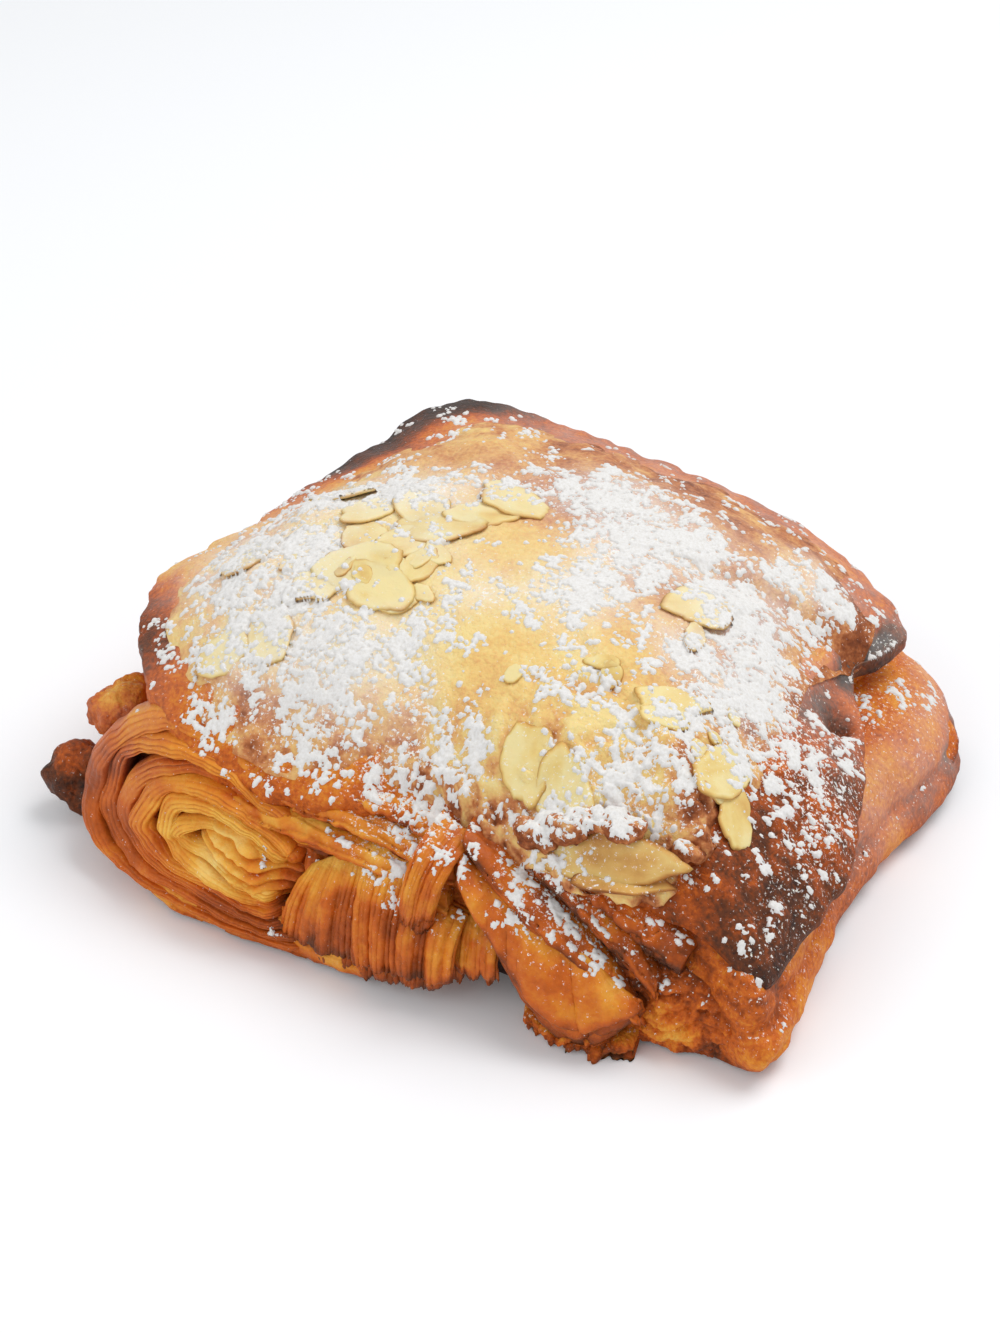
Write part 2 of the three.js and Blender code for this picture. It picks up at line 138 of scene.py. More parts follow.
def curve(points, along, closed=False):
    points = np.asarray(points, dtype=float)
    count = len(points)
    if closed:
        padded = np.concatenate([points[-1:], points, points[:2]])
        place = np.mod(along, 1) * count
    else:
        padded = np.concatenate([[2 * points[0] - points[1]], points, [2 * points[-1] - points[-2]]])
        place = np.clip(along, 0, 1) * (count - 1)
    first = np.minimum(place.astype(int), len(padded) - 4)
    share = (place - first)[:, None]
    a, b, c, d = (padded[first + k] for k in range(4))
    steps = ((a, b), (b, c), (c, d))
    gap = [np.maximum(np.linalg.norm(q - p, axis=1), 1e-6)[:, None] ** 0.5 for p, q in steps]
    leave = ((b - a) / gap[0] - (c - a) / (gap[0] + gap[1]) + (c - b) / gap[1]) * gap[1]
    arrive = ((c - b) / gap[1] - (d - b) / (gap[1] + gap[2]) + (d - c) / gap[2]) * gap[1]
    square = -3 * b + 3 * c - 2 * leave - arrive
    cube = 2 * b - 2 * c + leave + arrive
    return b + leave * share + square * share ** 2 + cube * share ** 3


def outline_by_angle(points):
    ring = curve([(*p, 0)[:3] for p in points], np.linspace(0, 1, 1441)[1:], closed=True)
    angle = np.arctan2(ring[:, 1], ring[:, 0])
    order = np.argsort(angle)
    radius = np.hypot(ring[:, 0], ring[:, 1])
    return lambda at: (
        np.interp(at, angle[order], radius[order], period=FULL_TURN),
        np.interp(at, angle[order], ring[order, 2], period=FULL_TURN),
    )


print("a point half way along", curve([(0, 0), (1, 1), (2, 0)], np.array([0.5]))[0])

# %% [markdown]
# ## Bent grids
# Every piece starts as a flat grid from bmesh. A rule takes each point of the grid, as two shares u and v of
# its width and length, to its place in the pastry, and gives it marks: how dark it is baked, with painted
# shade and painted highlight added in places, for example.
# Edges that meet are welded, so that rings and thin leaves come out closed.

# %% Make a piece from a grid
WELD = 2e-6


def bent_grid(bm, columns, rows, rule):
    made = bmesh.ops.create_grid(bm, x_segments=columns, y_segments=rows, size=0.5)["verts"]
    flat = np.array([v.co for v in made])
    points, bake_and_shade = rule(flat[:, 0] + 0.5, flat[:, 1] + 0.5)
    mark = bm.verts.layers.float["bake_and_shade"]
    bake_and_shade = np.broadcast_to(bake_and_shade, len(flat))
    for vert, place, dark in zip(made, metres(points).tolist(), bake_and_shade.tolist()):
        vert.co = place
        vert[mark] = dark


def new_bm():
    bm = bmesh.new()
    bm.verts.layers.float.new("bake_and_shade")
    return bm


DRESSED = []


def linked(name, data):
    obj = bpy.data.objects.new(name, data)
    bpy.context.scene.collection.objects.link(obj)
    return obj


def piece(name, bm, node):
    bmesh.ops.remove_doubles(bm, verts=bm.verts, dist=WELD)
    bmesh.ops.dissolve_degenerate(bm, edges=bm.edges, dist=WELD)
    bmesh.ops.recalc_face_normals(bm, faces=bm.faces)
    mesh = bpy.data.meshes.new(name)
    bm.to_mesh(mesh)
    bm.free()
    mesh.shade_smooth()
    obj = linked(name, mesh)
    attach(obj, "root")
    if node:
        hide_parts(node)
    DRESSED.append(obj)
    print(name, len(mesh.polygons), "faces")
    return obj


def grid_piece(name, grid, rule, node="pastry"):
    bm = new_bm()
    bent_grid(bm, *grid, rule)
    return piece(name, bm, node)


# %% [markdown]
# ## The bottom half
# The lower crust is a broad flat-footed cushion whose skin leans in on the right, where it ends in a flange
# with a rounded hem. It is drawn in under the hanging sheets and behind the far spiral. Rings of one outline,
# each with its share of it and its height, give the whole form.

# %% Bottom crust
BASE_OUTLINE = [
    (-54, -4), (-54, -14), (-50, -25), (-41, -34.5), (-20, -42), (12, -45), (36, -42.5), (48, -44.4),
    (54.6, -45.4), (56, -39), (55.8, -26), (55.4, -12), (57.4, 3), (60.4, 13), (61.4, 26), (57, 36),
    (44, 42), (12, 44), (-24, 43.5), (-46, 38), (-54, 24),
]
BASE_RINGS = [(0.8, 18.5), (0.88, 18), (0.94, 16), (0.98, 12), (1, 7.5), (1, 4), (0.985, 1.4), (0.95, 0)]
BASE_MIDDLE = 17
FLANGE_ANGLE = math.radians(22)
FLANGE_LEAN = 0.9
HEM_HOLLOW = 0.09
FAR_HOLLOW = 0.06
base_outline = outline_by_angle(BASE_OUTLINE)


def bottom_crust(u, v):
    angle = FULL_TURN * u
    rows = np.interp(v, [0, 0.06, 0.94, 1], [0, 1, 8, 9])
    ring = curve(BASE_RINGS, portion(rows, 1, 7))
    share = ring[:, 0] * np.clip(rows, 0, 1) * np.clip(9 - rows, 0, 1)
    height = np.where(rows < 1, BASE_MIDDLE + 1.5 * rows, np.where(rows > 8, 0, ring[:, 1]))
    lean = 1 + FLANGE_LEAN * np.maximum(0, np.cos(angle - FLANGE_ANGLE)) ** 2
    share = np.where((height > 7.5) & (rows >= 1), 1 - (1 - share) * lean, share)
    reach = base_outline(angle)[0] * share
    across = base_outline(angle)[0] * np.cos(angle)
    near, behind, skin = np.sin(angle) < 0, np.sin(angle) > 0, rows >= 1
    hollow = ramp(-8, 2, across) * ramp(28, 23, across) * near * ramp(9, 5.5, height) * skin
    far = ramp(-50, -44, across) * ramp(16, 8, across) * behind * ramp(19, 15, height) * skin
    far = far * ramp(1, 3.5, height)
    reach = reach * (1 - HEM_HOLLOW * hollow - FAR_HOLLOW * far)
    points = circle(angle, reach, height)
    side = np.clip(rows, 0, 1) * np.clip((8.6 - rows) / 0.6, 0, 1)
    x, y = points[:, 0], points[:, 1]
    right = ramp(38, 52, x)
    hem = right * (0.9 * np.exp(-((height - 3.2) / 2.2) ** 2) - 0.8 * np.exp(-((height - 8.2) / 1.2) ** 2))
    corner = right * ramp(-30, -38, y)
    belly = ramp(33, 38, x) * ramp(52, 49.5, x) * ramp(-30, -36, y)
    crags = 0.9 * rough(points, 4.5, 3, 3) + 0.7 * np.abs(lumps(points, 1.9, 18))
    swell = 0.45 * rough(points, 11, 3, 1) + 0.3 * rough(points, 3, 3, 16) + corner * crags + hem
    swell = swell - 4 * belly * ramp(0.8, 2.5, height)
    out = circle(angle, 1, 0.25)
    points = points + out * (swell * side)[:, None]
    points[:, 2] = np.maximum(points[:, 2], 0)
    x, y = points[:, 0], points[:, 1]
    bake_and_shade = 0.5 + 0.14 * rough(points, 9, 4, 5) + 0.2 * ramp(5, 0, height) + 0.06 * corner
    # painted shading: the hem bulge is coloured lighter and the groove above it darker
    bake_and_shade = bake_and_shade - 0.1 * right * ramp(6, 14, height) - 0.1 * hem
    # painted shade: the hollow under the hanging sheets (hollow) and the one behind the far spiral (far) are
    # coloured darker
    bake_and_shade = bake_and_shade + 0.2 * right * ramp(14, 26, y) * ramp(15, 5, height) + 0.55 * hollow
    bake_and_shade = bake_and_shade - 0.07 * right * ramp(-16, -24, y) + 0.2 * far
    # painted shade: the top of the crust in the gape under the flap is coloured darker
    gape = ramp(36, 44, x) * ramp(57, 54, x) * ramp(-29, -36, y)
    bake_and_shade = bake_and_shade + gape * ramp(7, 12, height) * (0.2 + 0.24 * rough(points, 2.4, 3, 61))
    return points, bake_and_shade


bottom = grid_piece("bottom_crust", (500, 72), bottom_crust)

# %% [markdown]
# ## Torn crumb
# At the near right the halves gape under the flap and show the inside: ochre crumb, torn in lumps and with
# faint level layers. It is an upright grid whose borders are tucked back into the crust.

# %% Torn crumb under the flap
CRUMB_X = (31.5, 52.5)
CRUMB_Z = (0.5, 16)
CRUMB_FACE = -43.0


def torn_crumb(u, v):
    x = between(CRUMB_X, u)
    z = between(CRUMB_Z, v)
    place = xyz(x, 0, z)
    lump = 2.2 * np.abs(lumps(place * (0.6, 1, 1.2), 6, 51)) + 0.7 * np.abs(lumps(place, 2.3, 52))
    lump = lump + 0.55 * rough(place, 1.2, 3, 53)
    layers = 0.7 * np.abs(np.sin(math.pi * (z / 2.6 + 0.8 * lumps(place, 5, 54))))
    tucked = ramp(0.12, 0, u) + ramp(0.88, 1, u) + ramp(0.85, 1, v)
    gap = ramp(10, 14, z + 0.25 * (x - 40)) * ramp(52, 47, x)
    y = CRUMB_FACE - lump - layers + 4 * ramp(7, 16, z) + 4.5 * tucked + 1.6 * ramp(3, 0, z) + 3 * gap
    # painted shade: darker towards the floor, in the gap under the flap and between the lumps; the lumps and
    # layer ridges that stand out are lighter
    bake_and_shade = 0.6 + 0.22 * rough(place, 4, 3, 55) - 0.1 * lump + 0.2 * ramp(5, 1, z)
    bake_and_shade = bake_and_shade - 0.1 * layers + 0.22 * gap
    return xyz(x, y, z), bake_and_shade


grid_piece("torn_crumb", (170, 120), torn_crumb)

# %% [markdown]
# ## The lid
# The upper half was lifted off for the filling and put back. Its domed skin ends in a thin lip, which stands
# high and burnt at the far left and droops to a dark blistered flap at the near right. Blisters are small
# round swellings on the flap; their tops are painted lighter as highlight. Above it a crease and a hollow
# show where the skin is tucked in, and both are painted darker as shade. The curl of the rim at the far left
# is browner, with painted shade on it too.

# %% Lid skin
CROWN_HEIGHT = 40.5
DOME_POWER = 2.7
LID_LIP = [
    (-51, -5, 29), (-49, -18, 29), (-41, -30.5, 27), (-27, -39, 23), (-13, -40.5, 23), (6, -38.5, 24),
    (24, -40.5, 22), (42, -39.5, 18.5), (53.4, -41.6, 14.3), (55.2, -36, 14.4), (57.4, -20, 15.8),
    (54.4, -2, 19.5), (50.5, 9, 21.5), (46.5, 16.5, 23.4), (50, 20.5, 24), (51.6, 26.5, 23.8),
    (43.5, 36, 26), (24, 42.5, 31), (-6, 45, 35.4), (-26, 43.5, 37.4), (-36, 32, 33), (-45.5, 12, 28.5),
]
LIP_RINGS = [(1, 0), (1, 1.3), (0.985, 2.6), (0.93, 3.0)]
PLUG = (0.86, 9)
LID_ROWS = (0.74, 0.26)
BLISTERS = 240
TUCK = ((48.4, 4.2), (1.9, 3.2))
TUCK_DEPTH = 4.8
CREASE_DEPTH = 0.9
lid_lip = outline_by_angle(LID_LIP)


def lid_top(x, y):
    radius, height = lid_lip(np.arctan2(y, x))
    share = np.minimum(1, np.hypot(x, y) / radius)
    return height + (CROWN_HEIGHT - height) * (1 - share ** DOME_POWER)


def flap(x, y):
    return ramp(38, 48, x + 0.25 * (-20 - y)) * ramp(6, -8, y)


def burnt_rim(x, y):
    return ramp(-24, -38, x - 0.55 * y + 8) * ramp(4, 26, y)


def lid_crease(x, y):
    line = np.interp(y, [-8, 5, 15, 24], [44.4, 45.6, 45.8, 49.4])
    return np.exp(-((x - line) / 1.5) ** 2) * ramp(-8, 0, y) * ramp(28, 22, y)


def blisters(x, y, seed=4):
    draw = np.random.default_rng(seed)
    total = np.zeros(len(x))
    for _ in range(BLISTERS):
        cx, cy = draw.uniform(34, 58), draw.uniform(-44, 6)
        size = 0.7 + 1.3 * draw.random() ** 2
        near = np.maximum(0, 1 - ((x - cx) ** 2 + (y - cy) ** 2) / (size * size))
        total = np.maximum(total, near ** 0.6 * size * 0.55)
    return total


def lid_skin(u, v):
    angle = FULL_TURN * u
    radius, lip_height = lid_lip(angle)
    top = portion(v, 0, LID_ROWS[0])
    share = np.interp(top, [0, 0.2, 1], [0, 0.6, 1])
    under = portion(v, *LID_ROWS)
    lip = curve(LIP_RINGS, portion(under, 0, 0.5))
    plug = portion(under, 0.5, 0.38)
    close = portion(under, 0.88, 0.12)
    below = under > 0
    share = np.where(below, lip[:, 0] + (PLUG[0] - lip[:, 0]) * plug, share) * (1 - close)
    x, y = radius * share * np.cos(angle), radius * share * np.sin(angle)
    lower = lip_height - lip[:, 1] + (PLUG[1] - lip_height + lip[:, 1]) * plug
    height = np.where(below, lower, lid_top(x, y))
    on_flap = flap(x, y)
    height = np.where(below & (plug == 0), height + 0.5 * on_flap * lip[:, 1], height)
    points = xyz(x, y, height)
    edge = ramp(0.55, 1, share)
    wave = 0.5 * rough(points, 9, 3, 7) * edge
    wave = wave + 0.25 * rough(points * (1, 1, 0.3), 3.5, 2, 9) * edge * (0.6 - 0.3 * on_flap)
    puff = np.where(below, 0, blisters(x, y) * on_flap * ramp(1, 0.96, share))
    tuck = np.where(below, 0, spot(x, y, *TUCK))
    crease = np.where(below, 0, lid_crease(x, y))
    points[:, 2] += wave * (1 - close) + puff - TUCK_DEPTH * tuck - CREASE_DEPTH * crease
    ragged = 0.8 * rough(circle(angle, 60), 5, 3, 12)
    points[:, :2] *= (1 + (ragged * edge * (1 - plug) / np.maximum(radius, 1)))[:, None]
    bake_and_shade = 0.44 + 0.12 * rough(points, 8, 4, 2) + 0.06 * ramp(0.9, 1, share) * (1 - on_flap)
    darker = 0.16 * ramp(36, 47, x - 0.2 * y - 8) + 0.06 * ramp(-24, -40, y)
    # painted highlight: the blister tops on the flap are coloured lighter
    darker = 0.12 + 0.1 * ramp(-18, -28, y) + darker + 0.08 * rough(points, 2.2, 3, 8) - 0.14 * puff
    bake_and_shade = np.minimum(bake_and_shade + on_flap * darker, 0.9)
    # the curl of the rim at the far left is coloured darker: browner skin with painted shade
    curl = ramp(0.885, 0.93, share) * ramp(-8, -12, y) * ramp(-30, -25, y) * (x < -35)
    bake_and_shade = bake_and_shade + 0.2 * curl
    bake_and_shade = bake_and_shade - 0.26 * ramp(-26, -42, x) * ramp(-22, -8, y) * ramp(30, 16, y)
    # the burnt rim is its own colour; the tuck hollow and the crease are coloured darker as painted shade
    bake_and_shade = bake_and_shade + 0.5 * burnt_rim(x, y) * ramp(0.8, 0.92, share) + 0.36 * tuck + 0.26 * crease
    bake_and_shade = bake_and_shade + 0.3 * ramp(0.93, 0.97, share) * ramp(9, 13, y) * ramp(29, 22, y) * (x > 40)
    bake_and_shade = np.where(plug > 0, 0.38 + 0.14 * rough(points, 4, 3, 6) + 0.36 * on_flap, bake_and_shade)
    return points, bake_and_shade


lid = grid_piece("lid_skin", (640, 104), lid_skin)

# %% [markdown]
# ## The rolled end
# At the near end the roll shows its layers as a flattened spiral: broad orange folds on the left, finer
# golden ones round a long pale eye, and a hollow where the eye ends. A ribbon that winds outwards stands
# for it. Its section is a rounded tongue running into the roll, with fine grooves in its front for the thin
# layers. The deep gaps between folds, the grooves and the hollow are painted darker as shade. The far end is
# hidden in the photograph and gets the same spiral with fewer points.

# %% Shape of the spiral
HOLLOW = (-12.6, 12)
EYE_LENGTH = 11.5
EYE_SLOPE = 0.17
REACH_LEFT = 27.5
REACH_RIGHT = 28
REACH_DOWN = 10.8
REACH_UP = (16.0, 8.5)
CORNERS = {"degrees": (45, 135, 225, 315), "power": (2.6, 2.8, 2.5, 4.0)}
SPIRAL_START = 0.2
EYE_LAYERS = 1.5
FRONT_END = -49.4
BACK_END = 46.6
TURNS = 6
END_ROUNDING = (-12, 48, 15.5)
LEAN = (5, 19, 10.5, 1.4)


def spiral_point(angle, share):
    across, upward = np.cos(angle), np.sin(angle)
    power = np.interp(np.degrees(angle) % 360, CORNERS["degrees"], CORNERS["power"], period=360)
    out = (np.abs(across) ** power + np.abs(upward) ** power) ** (-1 / power)
    left = EYE_LENGTH + share * REACH_LEFT
    right = 0.8 + REACH_RIGHT * ramp(0.35, 1, share)
    x = HOLLOW[0] + (right + (left - right) * ramp(0.25, -0.25, across)) * out * across
    reach_up = between(REACH_UP, ramp(-0.6, 0.25, across))
    rise = EYE_SLOPE * np.maximum(0, HOLLOW[0] - x) * (1 - share) ** 2
    z = HOLLOW[1] + rise + share * np.where(upward < 0, REACH_DOWN, reach_up) * out * upward
    return x, z


def end_rounding(x):
    start, span, drop = END_ROUNDING
    return drop * np.maximum(0, (start - x) / span) ** 2


def face_lean(z):
    start, span, drop, power = LEAN
    above = drop * np.clip((z - start) / span, 0, 1.3) ** power
    return above + 3.0 * np.clip((start - z) / start, 0, 1) ** 1.6


print("outermost layer on the left", [float(c[0]) for c in spiral_point(one(math.pi), one(1))])

# %% Spiral layers
TONGUE_DEPTH = 9
FINE_LAYERS = 2.3
OUTER_FOLDS_THICKER = 1.2


def hollow_depth(x, z):
    return 8 * np.exp(-((x - HOLLOW[0] - 0.6) / 1.5) ** 2 - ((z - HOLLOW[1] + 2) / 3.4) ** 2)


def spiral_layers(face, lean, seed):
    inwards = -np.sign(face)

    def rule(u, v):
        turn = TURNS * u
        angle = FULL_TURN * (SPIRAL_START + turn)
        ends = np.clip(np.minimum(u, 1 - u) * TURNS * 6, 0, 1) ** 0.5
        inside = (v > 0) & (v < 1)
        across = np.sign(0.5 - v) * np.abs(np.cos(math.pi * v)) ** 0.8 * inside * ends
        depth = 1 - np.sin(math.pi * v) ** 0.16
        around = circle(angle, 9, 9 * turn)
        wander = 0.46 * lumps(around, 8, seed) + 0.16 * lumps(around, 3, seed + 1)
        layer = np.maximum(EYE_LAYERS + turn + wander + 0.5 * across, 0.1)
        share = (layer / (TURNS + EYE_LAYERS)) ** OUTER_FOLDS_THICKER
        x, z = spiral_point(angle, share)
        place = xyz(x, 0, z)
        x = x + 0.9 * lumps(place, 7, seed + 2) + 0.3 * lumps(place, 2.6, seed + 3)
        z = z + 0.7 * lumps(place, 7, seed + 4) + 0.3 * lumps(place, 2.6, seed + 5)
        lamina = FINE_LAYERS * across + 0.8 * lumps(around, 6, seed + 6) + 0.25 * lumps(around, 2, seed + 7)
        groove = (1 - np.abs(np.sin(math.pi * lamina))) ** 2 * (0.34 + 0.4 * lumps(around, 4, seed + 8))
        stand = 2.1 * lumps(around, 9, seed + 9) + 0.9 * lumps(around, 3.6, seed + 10)
        stand = stand + 0.25 * rough(place, 1.8, 2, seed + 11)
        hollow = hollow_depth(x, z)
        behind = 6 * lean * ramp(-12, -5, x)
        y = end_rounding(x) + lean * face_lean(z) + TONGUE_DEPTH * depth + groove + stand + hollow + behind
        points = xyz(x, face + inwards * y, np.maximum(z, 0.15))
        bake_and_shade = 0.18 + 0.28 * ramp(0.16, 0.6, share) + 0.1 * rough(points, 6, 3, seed + 12)
        bake_and_shade = bake_and_shade + 0.02 * ramp(6, 1.5, z) + 0.1 * lumps(around, 2.6, seed + 13)
        # painted shade: the deep sides of each fold, the grooves, the layers set back and the hollow where
        # the eye ends are coloured darker
        bake_and_shade = bake_and_shade + 0.16 * ramp(0.1, 0.4, depth) + 0.26 * groove + 0.06 * stand
        return points, bake_and_shade + 0.08 * hollow - 0.07 * ramp(14, 20, z)

    return rule


grid_piece("rolled_layers_near", (2300, 42), spiral_layers(FRONT_END, 1, 20))
grid_piece("rolled_layers_far", (1300, 26), spiral_layers(BACK_END, 0.3, 40))

# %% [markdown]
# ## The eye
# Inside the innermost fold the dough hardly browned: a small hollow of soft yellow crumb that deepens to the
# right. A round grid, set back behind the folds with its border tucked in, shows between them.

# %% Pale crumb
EYE_HALF = (9.0, 4.2)


def eye_crumb(u, v):
    angle = FULL_TURN * u
    x = HOLLOW[0] - 5.5 + EYE_HALF[0] * v * np.cos(angle)
    z = HOLLOW[1] + EYE_SLOPE * (HOLLOW[0] - x) + EYE_HALF[1] * v * np.sin(angle)
    place = xyz(x, 0, z)
    level = z - EYE_SLOPE * (HOLLOW[0] - x)
    layers = np.abs(np.sin(math.pi * (level / 1.5 + 0.7 * lumps(place * (0.5, 1, 1), 3, 36))))
    y = end_rounding(x) + face_lean(z) + 0.6 + 2.6 * ramp(-18, -12, x) + 2.5 * v ** 4
    y = y + 0.8 * rough(place, 2.6, 3, 33) - 1.1 * layers
    # painted shade: darker to the right, where the hollow deepens; the layer ridges that stand forward are
    # lighter
    bake_and_shade = 0.3 + 0.14 * rough(place, 3, 3, 34) + 0.3 * ramp(-16, -12, x) - 0.14 * layers
    return xyz(x, FRONT_END + y, z), bake_and_shade


grid_piece("eye_crumb", (160, 60), eye_crumb)

# %% [markdown]
# ## Hanging sheets
# Where the roll was split, thin sheets of dough hang out over the filling in long pleats. Each one spans an
# upper and a lower edge, bellies out a little, and is a closed leaf that thins to nothing at its borders. Up
# to four leaves lie on each other with ragged hems of their own, as laminated dough does. Folds and lines run
# down a sheet, and steps run across it.

# %% Leaves of dough
SHEETS = {
    "bottom_band": dict(
        upper=[(-39, -39.5, 8.5), (-33, -42.4, 7), (-23, -44.6, 7), (-11, -45.6, 7.5), (0, -46.6, 6.5)],
        lower=[(-40, -40.5, 1.6), (-33, -44.4, 0.9), (-23, -46.2, 0.8), (-9, -47.6, 1), (1, -48.6, 1.4)],
        belly=0.9, leaves=1, bake_and_shade=0.3, seed=17, torn=0.03, steps=(3, 0.35), grid=(220, 60)),
    "curtain_thin": dict(
        upper=[(10, -43, 15), (14, -43.6, 14), (19, -44.6, 13)],
        lower=[(11, -46.6, 4.6), (14.5, -47.2, 5), (19, -47.6, 6.6)],
        belly=1.2, leaves=2, bake_and_shade=0.42, seed=18, torn=0.1, lines=(7, 0.3), grid=(140, 80)),
    "curtain_left": dict(
        upper=[(-9.4, -43.4, 14.6), (-5, -42.8, 17.2), (1, -42.6, 18)],
        lower=[(-14, -46.2, 2.4), (-6.5, -48.2, 2.2), (2, -49.2, 2.8)],
        belly=1.7, leaves=2, bake_and_shade=0.55, seed=10, folds=(5, 0.5), lines=(16, 0.75), torn=0.03, pale_top=-0.3,
        grid=(260, 100)),
    "curtain_middle": dict(
        upper=[(-2, -42.4, 18), (2.5, -42.8, 17.8), (7.5, -43.6, 16.8)],
        lower=[(-0.6, -49, 2.6), (3, -49.6, 2.8), (7.4, -49.4, 3.6)],
        belly=1.8, leaves=2, bake_and_shade=0.57, seed=11, folds=(3, 0.8), lines=(10, 0.7), torn=0.035, pale_top=-0.3,
        grid=(180, 100)),
    "curtain_right": dict(
        upper=[(5, -43.2, 16), (9, -43.8, 15.2), (14, -44.4, 14.2)],
        lower=[(5.8, -49.8, 3.4), (9, -50, 3.8), (13.2, -49.2, 5)],
        belly=1.8, leaves=2, bake_and_shade=0.52, seed=13, folds=(2, 0.8), lines=(7, 0.4), torn=0.04, grid=(140, 100)),
    "pleat_low": dict(
        upper=[(12.5, -43.6, 23.6), (20, -44.6, 19.6), (29, -45.4, 15), (38.6, -46.2, 9)],
        lower=[
            (13, -46.6, 19.5), (18.6, -48.6, 13), (24, -50.2, 6), (31.6, -51, 2.4), (36, -49.2, 4.4),
            (39.2, -47.2, 8)],
        belly=0.9, leaves=3, bake_and_shade=0.46, pale_top=-0.1, seed=1, folds=(3, 0.8), lines=(5, 0.2), torn=0.03,
        grid=(200, 110)),
    "pleat_middle": dict(
        upper=[(12, -38, 25.5), (22, -39, 20.5), (31, -41, 14.5), (38, -44.6, 7.6)],
        lower=[(13, -45, 23.5), (21.5, -47.6, 17), (30, -48.4, 11.2), (36, -48.2, 7.4), (39.5, -47.6, 4.8)],
        belly=1.4, leaves=4, bake_and_shade=0.48, seed=2, steps=(3, 0.5), torn=0.04, grid=(180, 90)),
    "pleat_high": dict(
        upper=[(21, -36, 24), (30, -37, 20.5), (36, -39, 16), (40, -42, 11)],
        lower=[(22.5, -43.6, 21), (30, -45.4, 16.8), (35.5, -45.8, 12.6), (40.5, -45.6, 8)],
        belly=1.2, leaves=4, bake_and_shade=0.52, seed=3, steps=(3, 0.5), torn=0.04, grid=(160, 90)),
    "pleat_top": dict(
        upper=[(28, -37, 22.5), (36, -37, 19.5), (44, -38, 15)],
        lower=[(30, -43.4, 19.6), (36.5, -44, 16), (42.5, -43.4, 11.8)],
        belly=1.0, leaves=3, bake_and_shade=0.54, seed=19, steps=(2, 0.5), torn=0.04),
    "folded_strip": dict(
        upper=[(8, -39, 26), (11, -40, 25), (14, -39, 24)],
        lower=[(5.5, -48.6, 12.5), (7.5, -49, 12), (10, -48.4, 13.5)],
        belly=3.4, leaves=2, bake_and_shade=0.45, seed=4),
    "shingle_low": dict(
        upper=[(-25, -36.5, 19.6), (-10, -38, 19.6), (10, -40.5, 18)],
        lower=[(-22, -43, 17.6), (-12, -44.2, 17.2), (0, -45, 16.2), (12, -46.5, 12.5)],
        belly=1.0, leaves=3, bake_and_shade=0.3, seed=5, steps=(4, 0.5), grid=(150, 90)),
    "shingle_middle": dict(
        upper=[(-15, -36, 21.4), (-4, -37, 22.2), (10, -39, 21)],
        lower=[(-13, -41.4, 19.6), (-5, -42.6, 19.8), (4, -43.2, 18.6), (12, -44, 16)],
        belly=1.0, leaves=3, bake_and_shade=0.3, seed=15, steps=(4, 0.5), grid=(140, 90)),
    "shingle_high": dict(
        upper=[(-6, -35, 24.4), (2, -36, 25), (13, -38, 23.6)],
        lower=[(-5, -39.8, 22.4), (1, -41, 22.2), (6, -41.6, 20.8), (13, -42.6, 18.8)],
        belly=0.9, leaves=3, bake_and_shade=0.36, seed=16, steps=(3, 0.5), grid=(130, 90)),
    "crumbled_layers": dict(
        upper=[(22, -43, 2.8), (30, -43, 3), (38, -42, 3)],
        lower=[(23.5, -49.2, 1.1), (30, -51.2, 1), (38.5, -49.2, 1.2)],
        belly=0.4, leaves=4, bake_and_shade=0.5, seed=6, torn=0.16, folds=(5, 0.7), grid=(140, 70)),
    "far_sheet_high": dict(
        upper=[(-22, 38, 27), (0, 38, 25), (22, 38, 22), (40, 36, 18)],
        lower=[(-20, 41, 25.4), (2, 46.5, 19.5), (24, 46, 14), (44, 43, 7)],
        belly=1.6, leaves=4, bake_and_shade=0.46, seed=7, steps=(4, 0.6), torn=0.05, grid=(150, 80)),
    "far_sheet_low": dict(
        upper=[(16, 38, 17), (30, 38, 13), (44, 36, 10)],
        lower=[(14, 46, 12.5), (28, 47, 4), (42, 45, 1.6)],
        belly=1.2, leaves=4, bake_and_shade=0.42, seed=8, steps=(3, 0.6), torn=0.05, grid=(140, 80)),
    "flange_rim": dict(
        upper=[(54.5, 17, 13.5), (55, 28, 14), (49, 36, 14.5)],
        lower=[(60.4, 13, 4.5), (61.4, 27, 6.5), (54, 38.5, 7.5)],
        belly=0, leaves=1, bake_and_shade=0.6, seed=9, torn=0.02),
}
LEAF_THICKNESS = 0.6
LEAF_STEP = 1e-3


